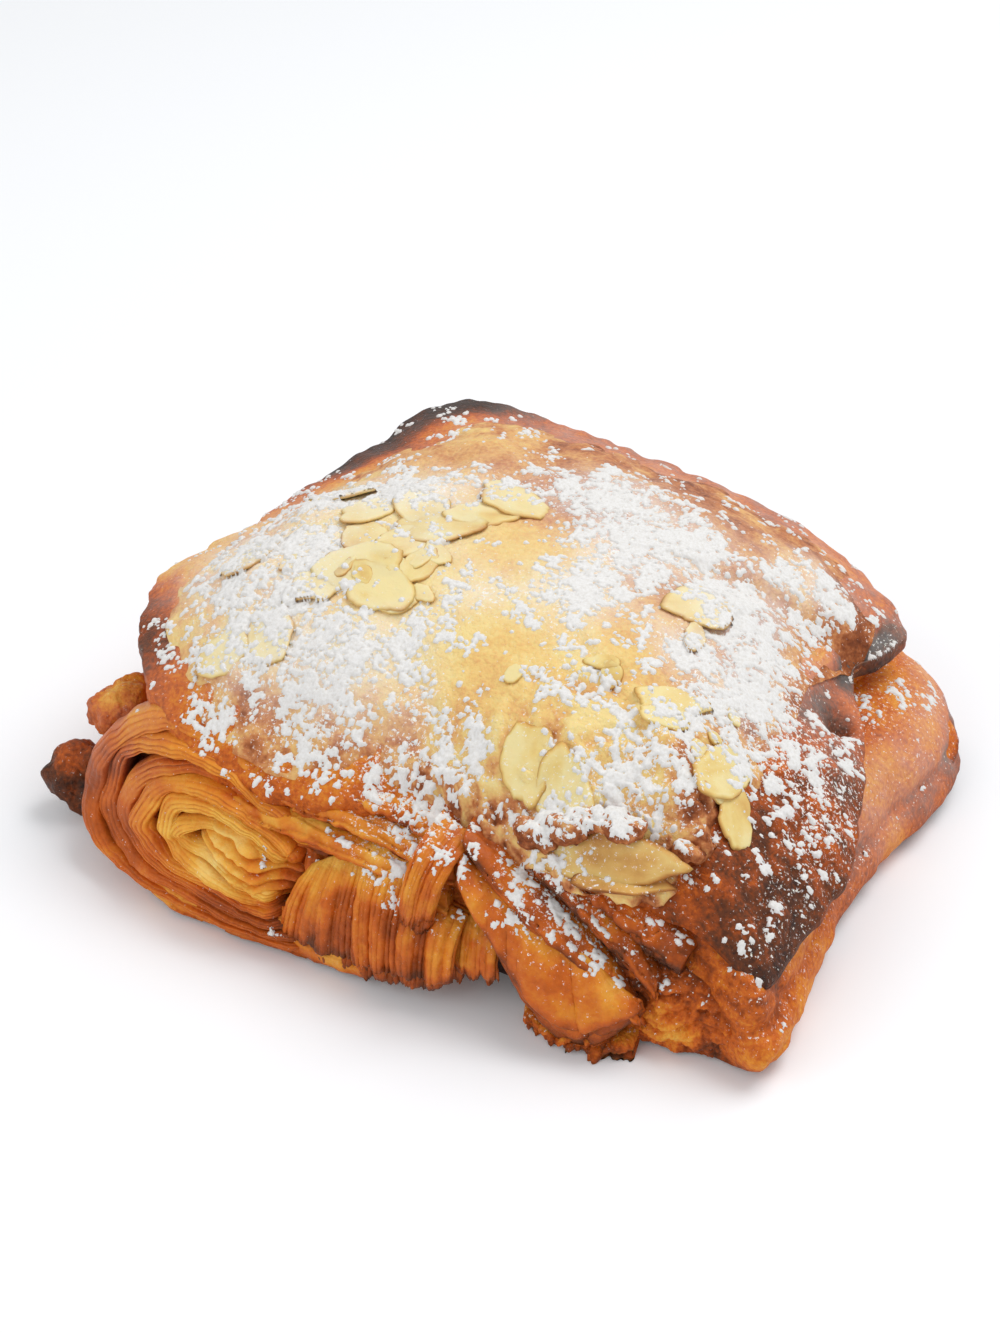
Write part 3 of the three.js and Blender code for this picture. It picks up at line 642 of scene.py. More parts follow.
def leaf_rule(form, layer):
    upper, lower, belly, seed = form["upper"], form["lower"], form["belly"], form["seed"]
    out = np.sign(upper[0][1])
    folds, fold_height = form.get("folds", (0, 0))
    lines, line_height = form.get("lines", (0, 0))
    steps, step_height = form.get("steps", (0, 0))
    torn_edge = form.get("torn", 0.06)
    shorter = 0.08 * (form["leaves"] - 1 - layer)

    def middle(u, s):
        top, hem = curve(upper, u), curve(lower, u)
        wave = xyz(26 * u, 3 * s, 9 * layer)
        fold = folds * (u + 0.04 * lumps(wave * (0.6, 0.5, 1), 3, seed + 1))
        torn = torn_edge * (rough(wave, 2.6, 3, seed) + 0.2 * rough(wave, 0.7, 2, seed + 9))
        s = s * (1 - shorter + torn)
        bulge = np.sin(math.pi * np.clip(s, 0, 1))
        points = top + (hem - top) * s[:, None]
        ripple = 0.5 * lumps(wave * (1, 0.35, 1), 3.2, seed + 3)
        ripple = ripple + 0.25 * lumps(wave * (1, 0.2, 1), 1.1, seed + 5)
        ripple = ripple + fold_height * (np.abs(np.sin(math.pi * fold)) ** 0.75 - 0.5)
        line = lines * (u + 0.02 * lumps(wave * (1, 0.6, 1), 2, seed + 2))
        ridge = line_height * (np.abs(np.sin(math.pi * line)) ** 0.8 - 0.6)
        ripple = ripple + ridge * (0.7 + lumps(wave, 2.5, seed + 4))
        stair = np.mod(steps * s + 0.5 * lumps(wave, 2.6, seed + 6), 1)
        ripple = ripple - step_height * stair * (steps > 0)
        grown = np.clip(2.2 * s, 0, 1)
        points[:, 1] += out * (belly * bulge + (ripple - 0.8 * layer) * grown)
        points[:, 2] += belly * bulge + 0.4 * ripple * grown - 0.4 * layer * s
        return points, ripple

    def rule(u, v):
        s = 1 - np.abs(2 * v - 1)
        side = np.sign(0.5 - v)
        at_u, at_s = np.clip(u, LEAF_STEP, 1 - LEAF_STEP), np.clip(s, LEAF_STEP, 1 - LEAF_STEP)
        along = middle(at_u + LEAF_STEP, at_s)[0] - middle(at_u - LEAF_STEP, at_s)[0]
        down = middle(at_u, at_s + LEAF_STEP)[0] - middle(at_u, at_s - LEAF_STEP)[0]
        normal = np.cross(along, down)
        normal /= np.maximum(np.linalg.norm(normal, axis=1), 1e-12)[:, None]
        thick = LEAF_THICKNESS * np.sqrt(np.clip(1 - (2 * u - 1) ** 20, 0, 1) * np.clip(1 - s ** 24, 0, 1))
        thick = thick * np.sqrt(np.clip(1 - (1 - s) ** 24, 0, 1))
        points, ripple = middle(u, s)
        blistered = 0.16 * rough(points, 1.7, 3, seed + 7)
        points = points + normal * (0.5 * side * thick + blistered)[:, None]
        points[:, 2] = np.maximum(points[:, 2], 0.1)
        dark = form["bake_and_shade"] + 0.16 * rough(points, 5, 4, seed + 8) + 0.18 * ramp(0.84, 1, s)
        # painted shading: leaves lying behind are darker, and each leaf is darker in its furrows and lighter
        # on its ridges
        dark = dark + 0.04 * layer - 0.14 * ripple
        return points, dark + form.get("pale_top", 0) * ramp(0.5, 0, s)

    return rule


for name, form in SHEETS.items():
    bm = new_bm()
    columns, rows = form.get("grid", (110, 80))
    for layer in range(form["leaves"]):
        finer = 1 if layer == 0 else 0.65
        bent_grid(bm, round(columns * finer), 2 * round(rows * finer / 2), leaf_rule(form, layer))
    piece(name, bm, "pastry")

# %% [markdown]
# ## Burnt ends
# Two ends of the outer skin stick out at the far left and caught the heat: small rounded lumps, the lower one
# nearly black and the other brown. A grid bent to a ball, and pulled out of shape by the same unevenness as
# the rest, is enough.

# %% Burnt lumps
BURNT_LUMPS = [((-54.2, -28.7, 5.4), (4.6, 5, 4.4), 0.84), ((-50.4, -23.4, 15), (4.6, 6.2, 4.2), 0.5)]
LUMP_GRID = (96, 48)


def lump_rule(centre, half, darkness, swell, size, seed):
    def rule(u, v):
        around, down = FULL_TURN * u, math.pi * v
        unit = circle(around, np.sin(down), np.cos(down))
        points = unit * half + centre
        points = points + unit * (swell * rough(points, size, 4, seed))[:, None]
        points[:, 2] = np.maximum(points[:, 2], 0.2)
        dark = darkness + 0.14 * rough(points, 0.7 * size, 3, seed + 4)
        # painted highlight: the top of each lump is coloured lighter
        return points, dark - 0.16 * ramp(0.35, 0.95, unit[:, 2])

    return rule


bm = new_bm()
for number, (centre, half, darkness) in enumerate(BURNT_LUMPS):
    bent_grid(bm, *LUMP_GRID, lump_rule(centre, half, darkness, 1.5, 4.5, 60 + number))
piece("burnt_ends", bm, "pastry")

# %% [markdown]
# ## Almond cream
# The cream was spread on the lid and baked to a crust: pale gold and smooth in the middle, brown, lumpy and
# porous along the thick near rim. A dome of rings follows the lid and rounds off at the edge.

# %% Cream
CREAM_OUTLINE = [
    (-45, -7), (-42, -21), (-34, -31.5), (-23, -38), (-14, -39.4), (-6, -37), (3, -37), (12, -39.6),
    (24, -43), (33, -42.6), (41.5, -36.8), (46, -29), (47, -15), (44.5, 0), (46, 12), (48, 23), (38, 34),
    (18, 39), (-6, 39.5), (-19, 35.5), (-29, 24), (-38, 9),
]
CREAM_MIDDLE = 2.4
CREAM_FRONT = 4.6
CREAM_ROWS = (0.86, 0.14)
FIT_GAP = 0.35
LUMP_PITCH = 17
LUMP_HEIGHT = 0.45
LUMP_SKEW = 0.65
cream_outline = outline_by_angle(CREAM_OUTLINE)


def cream_share(x, y):
    return np.minimum(1, np.hypot(x, y) / cream_outline(np.arctan2(y, x))[0])


def cream_front(x, y):
    return ramp(16, 36, -y) * ramp(-14, 16, x)


def cream_top(x, y):
    share = cream_share(x, y)
    depth = CREAM_MIDDLE + (CREAM_FRONT - CREAM_MIDDLE) * cream_front(x, y)
    edge = np.maximum(0, 1 - share ** 7) ** (1.6 - 1.1 * cream_front(x, y))
    wave = FULL_TURN / LUMP_PITCH
    swell = np.sin(wave * x + np.sin(wave * LUMP_SKEW * y)) + np.sin(wave * y + np.cos(wave * LUMP_SKEW * x))
    return lid_top(x, y) + FIT_GAP * (2 * edge - 1) + depth * edge + LUMP_HEIGHT * swell * edge * share


def cream_skin(u, v):
    angle = FULL_TURN * u
    top = portion(v, 0, CREAM_ROWS[0])
    share = np.interp(top, [0, 0.25, 0.7, 1], [0, 0.55, 0.93, 1])
    under = portion(v, *CREAM_ROWS)
    radius = cream_outline(angle)[0]
    near_rim = cream_front(radius * np.cos(angle), radius * np.sin(angle)) * ramp(0.86, 0.97, share)
    crag = rough(circle(angle, 60, 40 * share + 9 * under), 3.2, 3, 78)
    reach = radius + 0.9 * rough(circle(angle, 60), 6, 3, 70) * ramp(0.6, 1, share) + 1.5 * crag * near_rim
    reach = reach * share * (1 - under)
    x, y = reach * np.cos(angle), reach * np.sin(angle)
    inside = radius * share * 0.998
    height = cream_top(inside * np.cos(angle), inside * np.sin(angle))
    points = xyz(x, y, height)
    front = cream_front(x, y)
    crust = ramp(0.6, 0.95, share)
    grit = ramp(8, 20, x - 0.6 * y - 14) * ramp(-12, -24, y)
    lumpy = 0.35 + 0.3 * crust + 0.7 * front * ramp(0.85, 1, share)
    height = height + lumpy * rough(points, 5, 4, 72)
    height = height + (0.12 + 0.2 * front * crust) * rough(points, 1.4, 2, 77)
    pores = rough(points, 2.4, 3, 83)
    height = height + 0.6 * crag * near_rim + 0.8 * grit * pores
    height = np.where(under > 0, height - 3.2 * ramp(0, 0.2, under), height)
    points[:, 2] = height
    gold = spot(x, y, (8, -18), (17, 10)) + spot(x, y, (-12, -5), (17, 15))
    rosy = ramp(10, 26, x + 0.9 * y) + ramp(24, 40, x)
    bake_and_shade = 0.32 - 0.25 * np.minimum(gold, 1) + 0.14 * np.minimum(rosy, 1) + 0.14 * rough(points, 9, 4, 74)
    bake_and_shade = bake_and_shade + (0.06 + 0.1 * front) * ramp(0.8, 1, share) + 0.03 * front * crust
    bake_and_shade = bake_and_shade + 0.12 * rough(points, 2.5, 3, 76) * (0.5 + crust)
    # painted shading over the browned rim: the raised crags and grit are coloured lighter and the pits
    # between them darker
    bake_and_shade = bake_and_shade + (0.16 - 0.34 * crag + 0.3 * rough(points, 1.2, 2, 79)) * near_rim
    bake_and_shade = bake_and_shade + grit * (-0.09 - 0.26 * pores) + 0.06 * ramp(4, 22, y) * ramp(0.3, 0.8, share)
    bake_and_shade = bake_and_shade + 0.22 * spot(x, y, (2, 12), (12, 9)) + 0.15 * ramp(2, -8, x) * ramp(-25, -32, y)
    return points, np.minimum(bake_and_shade, 0.8)


cream = grid_piece("almond_cream_crust", (420, 136), cream_skin, "almond_cream")

# %% [markdown]
# ## Crust over the largest slice
# At the near rim the cream boiled over the largest almond slice and set as a dark porous roll along its upper
# edge. A row of rough lumps that run into each other makes it.

# %% Crust roll
CRUST_ROLL = [
    ((21.4, -39.6, 26.4), (3, 2, 2)), ((24.6, -38.6, 28), (3.6, 2.2, 1.9)),
    ((28.4, -37.8, 29.2), (3.6, 2.1, 1.7)), ((32.2, -37.2, 29.6), (3.2, 1.9, 1.4)),
    ((41, -35.4, 26.6), (2.4, 1.6, 1.5)),
]

bm = new_bm()
for number, (centre, half) in enumerate(CRUST_ROLL):
    bent_grid(bm, *LUMP_GRID, lump_rule(centre, half, 0.7, 0.9, 2.4, 130 + number))
piece("cream_crust_roll", bm, "almond_cream")

# %% [markdown]
# ## Flaked almonds
# Each flake is a thin slice across an almond: an oval with one pointed end, a little bent by the heat, with a
# brown line of skin at its border. They lie on the cream and follow its slope, but the two at the near rim
# lean out over it.

# %% Almond flakes
ALMONDS = [
    (31.2, -39.2, 8, 20, 6.8, 54), (34, -40.6, 12, 13, 4.2, 10), (17.5, -33.5, 100, 13, 7),
    (23.2, -35.6, 106, 11.6, 8.4), (41, -24, 62, 13.5, 7.5), (44, -27, 132, 10, 6),
    (32, -19.6, 32, 11, 5), (33, -22.6, 28, 9, 3.6), (43.6, -35.2, 40, 5, 1.9), (30.4, -6, 100, 6, 3.4),
    (29.4, 0.5, 45, 13, 8), (-9.6, -1, 28, 13, 10), (-16, -12.5, 15, 13, 9), (-8, -10.6, 85, 8, 5),
    (-12, -16, 150, 12, 8), (-28, 8, 30, 11, 7), (-3, 10, 160, 12, 8), (-14, 3, 140, 11, 8),
    (-21, 1.5, 60, 11, 7), (-5, 4.5, 20, 10, 7), (-19, -6, 120, 10, 7), (-12, -6, 50, 11, 8),
    (-33.5, -12, 60, 10, 7), (-24, -24.5, 100, 11, 7), (-30, -27.5, 35, 11, 7), (-20, -15.5, 70, 11, 8),
]
FLAKE_THICKNESS = 0.55
FLAKE_POINT = (0.1, 0.5)
FLAKE_TIP = 0.07
FLAKE_GRID = (48, 28)
DOWN = Vector((0, 0, -1))


def places_of(mesh):
    place = np.empty(len(mesh.vertices) * 3)
    mesh.vertices.foreach_get("co", place)
    return place.reshape(-1, 3)


def surface_of(objects):
    verts, faces, owner, start = [], [], [], 0
    for number, obj in enumerate(objects):
        mesh = obj.data
        verts.append(places_of(mesh))
        mesh.calc_loop_triangles()
        corner = np.empty(len(mesh.loop_triangles) * 3, dtype=int)
        mesh.loop_triangles.foreach_get("vertices", corner)
        faces.append(corner.reshape(-1, 3) + start)
        owner.append(np.full(len(faces[-1]), number))
        start += len(mesh.vertices)
    verts, faces = np.concatenate(verts).tolist(), np.concatenate(faces).tolist()
    return BVHTree.FromPolygons(verts, faces, all_triangles=True), np.concatenate(owner)


def resting_plane(x, y, turn, length, width):
    angle, turned = np.arange(12) * FULL_TURN / 12, math.radians(turn)
    a, b = np.append(0.4 * length * np.cos(angle), 0), np.append(0.4 * width * np.sin(angle), 0)
    across, along = a * math.cos(turned) - b * math.sin(turned), a * math.sin(turned) + b * math.cos(turned)
    start = metres(xyz(x + across, y + along, 80))
    hits = [cream_surface.ray_cast(Vector(above), DOWN)[0] for above in start.tolist()]
    met = [number for number, hit in enumerate(hits) if hit]
    height = np.array([hits[number].z * 1000 for number in met])
    sides = np.stack([across[met], along[met], np.ones(len(met))], axis=1)
    slope_x, slope_y, level = np.linalg.lstsq(sides, height, rcond=None)[0]
    above = (height - sides @ (slope_x, slope_y, level)).max()
    return slope_x, slope_y, level + 0.45 * above + 0.08


cream_surface = surface_of([cream])[0]


def flake_rule(x, y, turn, length, width, lean, seed):
    draw = np.random.default_rng(seed)
    slope_x, slope_y, height = resting_plane(x, y, turn, length, width)
    sunk = draw.uniform(-FLAKE_TIP, FLAKE_TIP, 2)
    up = Vector((sunk[0] - slope_x, sunk[1] - slope_y, 1))
    if lean is not None:
        up = Vector((0, -math.tan(math.radians(lean)), 1))
        height = cream_top(one(x), one(y))[0] + 1.1
        y = y - 0.5
    tilt = np.array(Vector((0, 0, 1)).rotation_difference(up).to_matrix())
    cosine, sine = math.cos(math.radians(turn)), math.sin(math.radians(turn))
    spin = np.array([[cosine, -sine, 0], [sine, cosine, 0], [0, 0, 1]])
    broken = draw.uniform(0.45, 1.6) if lean is None else 1.6
    point = draw.uniform(*FLAKE_POINT) if lean is None else 0.05
    toasted = 0.05 + 0.34 * ramp(-36, -39, y) + draw.uniform(-0.08, 0.14)

    def rule(u, v):
        angle = FULL_TURN * u
        out = 1 - np.abs(2 * v - 1)
        side = np.sign(0.5 - v)
        taper = 1 - point * np.maximum(0, np.cos(angle)) ** 2
        ring = circle(angle, 3)
        border = 1 + 0.2 * rough(ring, 2.0, 4, seed)
        snapped = out * broken * (1 + 0.12 * lumps(ring, 0.8, seed))
        a = np.minimum(out * border * np.cos(angle), snapped) * length / 2
        b = out * border * np.sin(angle) * taper * width / 2
        curl = 0.012 * b * b * np.sin(seed)
        thick = 0.5 * FLAKE_THICKNESS * np.sqrt(np.clip(1 - out ** 18, 0, 1))
        flat = xyz(a, b, curl + side * thick + 0.1)
        flat[:, 2] += 0.14 * rough(xyz(a, b, 0), 4, 3, seed)
        points = flat @ spin.T @ tilt.T + (x, y, height)
        streak = rough(xyz(0.25 * a, b, 0), 1.6, 3, seed + 5)
        return points, toasted + 0.4 * ramp(0.86, 1, out) + 0.2 * rough(points, 4, 3, seed) + 0.12 * streak

    return rule


bm = new_bm()
for number, (x, y, turn, length, width, *lean) in enumerate(ALMONDS):
    bent_grid(bm, *FLAKE_GRID, flake_rule(x, y, turn, length, width, lean[0] if lean else None, 80 + number))
flakes = piece("almond_flakes", bm, "almond_cream")

# %% [markdown]
# ## Broken bits of almond
# Slices break while they are strewn, so small bits lie among the whole ones. They are the same slices, only
# shorter, drawn at random round the three places where the flakes gathered.

# %% Almond bits
BIT_PLACES = [(-15, -12, 7, 4.5, 13), (31, -18, 5, 5, 6), (40, -26, 4, 3, 4)]
BIT_GRID = (28, 16)
draw = np.random.default_rng(23)
bm = new_bm()
for cx, cy, spread_x, spread_y, count in BIT_PLACES:
    for _ in range(count):
        x, y = cx + spread_x * draw.normal(), cy + spread_y * draw.normal()
        length = draw.uniform(2.5, 6)
        seed = int(draw.integers(200, 900))
        turn = draw.uniform(0, 180)
        width = length * draw.uniform(0.5, 0.8)
        bent_grid(bm, *BIT_GRID, flake_rule(x, y, turn, length, width, None, seed))
bits = piece("almond_bits", bm, "almond_cream")

# %% [markdown]
# ## Icing sugar
# Sugar was sifted over the pastry: thick white drifts, speckles between them and bare gold in the middle.
# Slanting rays go down onto everything made so far, a film is laid where they hit, and it is raised wherever
# small round clumps of sugar fell. More of them fall where the drifts are, fewer on the bare spots and in the
# folds. Where none fell the film is taken away.

# %% Where the sugar lies
DRIFTS = [
    (10, 18, 6, 0.97), (16, 9, 6, 0.96), (14.5, -7.5, 5, 0.96), (4, 17, 6, 0.4), (22.5, 11.5, 6, 0.85),
    (16, 2, 5, 0.7), (-30, 6, 6, 0.8), (-22, 7, 6, 0.7), (-15, 7.5, 5, 0.8), (-8, 11, 5, 0.35),
    (-9, -5, 5, 0.4), (1.5, -13, 5, 0.3), (8, -11, 5, 0.35), (17.5, -17, 5, 0.4), (1, -29, 4, 0.5),
    (3, -33.5, 4, 0.55), (-38, -10, 6, 0.5), (-31, -8, 6, 0.75), (-24, -9, 5, 0.6), (-33, -19, 6, 0.5),
    (-24, -21, 6, 0.75), (-15, -26, 5, 0.86), (-8, -24, 5, 0.65), (-2, -22, 5, 0.3), (-13, -31, 5, 0.68),
    (-29, -27, 5, 0.3), (-27, -33, 5, 0.62), (-20, -34, 5, 0.62), (9.5, -34.5, 5, 0.62),
    (4, -38, 5, 0.58), (-3, -38, 4.5, 0.55), (-11, -35.5, 4.5, 0.58), (32, 4, 5, 0.7), (38, 1, 6, 0.85),
    (38, -12, 6, 0.9), (45, -14, 6, 0.6), (41.5, -6, 4.5, 0.7), (34, -27, 5, 0.5), (41, 20, 6, 0.75),
    (30, -33, 5, 0.6), (49, -5, 6, 0.25), (53, -15, 6, 0.2), (7.5, -44.5, 4, 0.35), (21, -40, 5, 0.45),
    (29, -9, 4, 0.4), (17, -47, 5, 0.35), (27, -43.5, 6, 0.35), (50, -28, 9, 0.14), (0, -44, 7, 0.08),
    (36, -20, 5, 0.35), (37, 11, 5, 0.45), (19, -25, 5, 0.35), (26, -37, 5, 0.65), (36, -36, 4, 0.4),
    (-2, -38.9, 3.5, 0.35), (8, -44.8, 3.5, 0.3), (1.4, -13.4, 4, 0.35), (37, -31.3, 4, 0.3),
    (29, -9.5, 4, 0.45), (35, -42.8, 3.5, 0.35), (40.5, -39.5, 3.5, 0.3), (28.2, -43, 3.5, 0.25),
]
BARE_SPOTS = [
    (-9, -39.8, 4, 0.6), (-25.4, -37, 4, 0.5), (-19.7, -32.5, 4, 0.5), (-11.4, -18, 5, 0.5),
    (7.8, -28, 5, 0.6), (5, -21.4, 4, 0.3), (23.6, -14.5, 4, 0.4), (14.5, -43.6, 4, 0.5),
    (49, -25.3, 4, 0.15), (-32, -25, 4, 0.3), (-26, -24, 4, 0.3),
]
EVERYWHERE = 0.03


def sugar_share(x, y):
    bare = np.ones(len(x))
    for sign, places in ((-1, DRIFTS), (1, BARE_SPOTS)):
        for cx, cy, size, strength in places:
            bare *= 1 + sign * strength * np.exp(-((x - cx) ** 2 + (y - cy) ** 2) / (1.4 * size * size))
    return np.clip(1 - bare * (1 - EVERYWHERE), 0, 1)


target, owner = surface_of(DRESSED)
print("sugar share at the crown", sugar_share(one(0), one(0)).round(2))

# %% Rays onto the pastry
SUGAR_STEP = 0.22
SUGAR_X = (-58, 60)
SUGAR_Y = (-57, 46)
FALL = Vector((0, 0.3, -1))
FALL_FROM = 80
MEAN_HEIGHT = 25
columns = int((SUGAR_X[1] - SUGAR_X[0]) / SUGAR_STEP)
rows = int((SUGAR_Y[1] - SUGAR_Y[0]) / SUGAR_STEP)
film = bmesh.new()
laid = bmesh.ops.create_grid(film, x_segments=columns, y_segments=rows, size=0.5)["verts"]
flat = np.array([v.co for v in laid])
x = between(SUGAR_X, flat[:, 0] + 0.5)
y = between(SUGAR_Y, flat[:, 1] + 0.5)
start = metres(xyz(x, y - FALL.y * (FALL_FROM - MEAN_HEIGHT), FALL_FROM))
place = np.full((len(x), 3), np.nan)
lying = np.zeros(len(x))
on_flake = np.zeros(len(x))
for number, above in enumerate(start.tolist()):
    hit, normal, face, _ = target.ray_cast(Vector(above), FALL)
    if hit:
        place[number] = hit
        lying[number] = abs(normal.z)
        on_flake[number] = DRESSED[owner[face]] is flakes
lies = ~np.isnan(place[:, 0])
ground = millimetres(np.where(lies[:, None], place, 0))
print("rays that hit", int(lies.sum()), "of", len(x))

# %% Clumps of sugar
CLUMP_RADIUS = (0.18, 0.52)
CLUMP_AREA = 0.36
MOST_COVERED = 0.985
SHELTERED = ((48.4, 4.6), (2.4, 3))
draw = np.random.default_rng(5)
plan = ground * (1, 1, 0.6)
patch = 0.5 * lumps(plan, 6, 89) + 0.8 * lumps(plan, 2.7, 90) + 0.9 * lumps(plan, 1.5, 91)
x, y, z = ground.T
share = sugar_share(x, y)
uneven = (0.5 - 0.25 * ramp(0.6, 0.95, share)) * patch / patch.std()
wanted = 1.7 * (share - 0.5) + uneven - 0.8 * ramp(0.8, 0.35, lying)
wanted = wanted - 0.7 * ramp(-10, -24, x) * ramp(26, 20, z) - 0.3 * ramp(15, 9, z)
folds = ramp(-42, -45, x) * ramp(-6, -11, y) + spot(x, y, *SHELTERED) + 0.6 * lid_crease(x, y)
wanted = wanted - 0.8 * folds - on_flake * (0.12 + 0.5 * ramp(-34, -38, y))
wanted = np.where(lies, np.clip(0.5 + 0.8 * wanted, 0, MOST_COVERED), 0)
falls = -np.log(1 - wanted) / CLUMP_AREA
column = np.rint((flat[:, 0] + 0.5) * columns).astype(int)
row = np.rint((flat[:, 1] + 0.5) * rows).astype(int)
density = np.zeros((rows + 1, columns + 1))
density[row, column] = falls
area = (SUGAR_X[1] - SUGAR_X[0]) * (SUGAR_Y[1] - SUGAR_Y[0])
across = draw.uniform(0, columns, int(area * falls.max()))
along = draw.uniform(0, rows, len(across))
chance = density[np.rint(along).astype(int), np.rint(across).astype(int)] / falls.max()
kept = draw.random(len(across)) < chance
pile = np.zeros_like(density)
for cx, cy, size in zip(across[kept], along[kept], draw.random(int(kept.sum())) ** 2):
    radius = between(CLUMP_RADIUS, size)
    reach = radius / SUGAR_STEP
    left, low = max(0, math.ceil(cx - reach)), max(0, math.ceil(cy - reach))
    near = pile[low:int(cy + reach) + 1, left:int(cx + reach) + 1]
    apart_x = (left + np.arange(near.shape[1]) - cx) / reach
    apart_y = (low + np.arange(near.shape[0]) - cy) / reach
    dome = np.sqrt(np.maximum(0, 1 - apart_x[None, :] ** 2 - apart_y[:, None] ** 2))
    np.maximum(near, dome * (0.12 + 0.5 * radius), out=near)
print("clumps of sugar", int(kept.sum()))

# %% Raise the film
raised = pile[row, column]
lift = np.where(raised > 0, raised + 0.04 * lumps(plan, 0.6, 93), -0.2)
top = ground - np.array(FALL) * lift[:, None]
for vert, risen in zip(laid, metres(top).tolist()):
    vert.co = risen
number = np.zeros((rows + 1, columns + 1), dtype=int)
number[row, column] = np.arange(len(x))
corners = np.stack([number[:-1, :-1], number[:-1, 1:], number[1:, 1:], number[1:, :-1]], axis=2)
spread = np.ptp(ground[corners][..., 1:], axis=2).max(axis=2)
sugared = (raised[corners] > 0).any(axis=2) & lies[corners].all(axis=2) & (spread < 0.8)
film.faces.ensure_lookup_table()
bare = [film.faces[i] for i in np.flatnonzero(~sugared.ravel()).tolist()]
bmesh.ops.delete(film, geom=bare, context="FACES")
piece("icing_sugar", film, None)

# %% [markdown]
# ## Dough finish
# One recipe of nodes makes the finishes of the skin, the inner layers, the cream and the almonds. The mark
# for how dark a spot was baked, which in places also carries painted shade and painted highlight, runs
# through a colour ramp, for the dough from pale crumb over gold and orange to burnt brown, with mottling at
# two scales.
# Fine bumps give the skin its matt, slightly buttery surface.
# Two more marks let sugar show as white speckles and as a veil.

# %% Material helpers


def linear(value):
    share = value / 255
    return share / 12.92 if share <= 0.04045 else ((share + 0.055) / 1.055) ** 2.4


def colour(red, green, blue):
    return (linear(red), linear(green), linear(blue), 1)


def new_material(name):
    material = bpy.data.materials.new(name)
    material.use_nodes = True
    tree = material.node_tree
    return material, tree, tree.nodes["Principled BSDF"]


def set_inputs(node, values):
    for name, value in values.items():
        node.inputs[name].default_value = value


def mark_node(tree, name):
    node = tree.nodes.new("ShaderNodeAttribute")
    node.attribute_name = name
    return node.outputs["Fac"]


def noise_node(tree, source, scale, detail, roughness=0.55):
    node = tree.nodes.new("ShaderNodeTexNoise")
    set_inputs(node, {"Scale": scale, "Detail": detail, "Roughness": roughness})
    tree.links.new(source, node.inputs["Vector"])
    return node.outputs["Fac"]


def math_node(tree, operation, a, b):
    node = tree.nodes.new("ShaderNodeMath")
    node.operation = operation
    for socket, value in zip(node.inputs, (a, b)):
        if isinstance(value, (int, float)):
            socket.default_value = value
        else:
            tree.links.new(value, socket)
    return node.outputs[0]


def varied(tree, value, noise, amount):
    swing = math_node(tree, "MULTIPLY", math_node(tree, "SUBTRACT", noise, 0.5), amount)
    return math_node(tree, "ADD", value, swing)


def tone_ramp(tree, source, colours):
    node = tree.nodes.new("ShaderNodeValToRGB")
    while len(node.color_ramp.elements) < len(colours):
        node.color_ramp.elements.new(0.5)
    for element, (share, *shade) in zip(node.color_ramp.elements, colours):
        element.position = share
        element.color = colour(*shade)
    tree.links.new(source, node.inputs["Fac"])
    return node.outputs["Color"]


def add_bumps(tree, shader, height, strength, distance):
    node = tree.nodes.new("ShaderNodeBump")
    set_inputs(node, {"Strength": strength, "Distance": distance})
    tree.links.new(height, node.inputs["Height"])
    tree.links.new(node.outputs["Normal"], shader.inputs["Normal"])


# %% Dough, cream and almond finishes
MOTTLE_SCALE = 320
GRAIN_SCALE = 1500
SPECK_SCALE = 1900
SPECKS_SHOW = (0.66, 0.74)
SUGAR_WHITE = colour(243, 240, 235)
BUTTER_GLOW = (0.0018, 0.0009, 0.0004)
BAKE_COLOURS = [
    (0.0, 244, 208, 122), (0.15, 236, 176, 72), (0.32, 224, 138, 42), (0.48, 202, 100, 30),
    (0.63, 160, 74, 24), (0.78, 108, 56, 28), (0.92, 74, 42, 28), (1.0, 52, 33, 27),
]
CREAM_COLOURS = [
    (0.0, 241, 216, 148), (0.2, 236, 199, 125), (0.38, 226, 173, 110), (0.56, 196, 124, 76),
    (0.72, 150, 82, 44), (0.88, 104, 52, 28), (1.0, 62, 36, 26),
]
ALMOND_COLOURS = [
    (0.0, 238, 218, 158), (0.2, 232, 202, 128), (0.45, 214, 168, 94), (0.7, 180, 122, 60),
    (1.0, 126, 74, 38),
]


def dough_finish(name, mottle, grain, sheen_roughness, bump_height, colours):
    material, tree, shader = new_material(name)
    place = tree.nodes.new("ShaderNodeTexCoord").outputs["Object"]
    broad = noise_node(tree, place, MOTTLE_SCALE, 5)
    fine = noise_node(tree, place, GRAIN_SCALE, 3)
    dark = varied(tree, mark_node(tree, "bake_and_shade"), broad, mottle)
    dark = varied(tree, dark, fine, grain)
    speck = noise_node(tree, place, SPECK_SCALE, 4, 0.7)
    fallen = math_node(tree, "MULTIPLY", mark_node(tree, "dust"), 0.2)
    veil = tree.nodes.new("ShaderNodeMapRange")
    veil.interpolation_type = "SMOOTHSTEP"
    set_inputs(veil, {"From Min": SPECKS_SHOW[0], "From Max": SPECKS_SHOW[1]})
    tree.links.new(math_node(tree, "ADD", fallen, speck), veil.inputs["Value"])
    haze = math_node(tree, "MULTIPLY", mark_node(tree, "haze"), broad)
    mix = tree.nodes.new("ShaderNodeMix")
    mix.data_type = "RGBA"
    tree.links.new(math_node(tree, "MAXIMUM", veil.outputs["Result"], haze), mix.inputs["Factor"])
    tree.links.new(tone_ramp(tree, dark, colours), mix.inputs[6])
    mix.inputs[7].default_value = SUGAR_WHITE
    tree.links.new(mix.outputs[2], shader.inputs["Base Color"])
    rise = math_node(tree, "ADD", math_node(tree, "MULTIPLY", fine, 0.8), broad)
    add_bumps(tree, shader, rise, 0.6, bump_height)
    set_inputs(shader, {
        "Roughness": sheen_roughness, "Subsurface Weight": 0.12, "Subsurface Radius": BUTTER_GLOW,
        "Subsurface Scale": 1.0, "Specular IOR Level": 0.2})
    return material


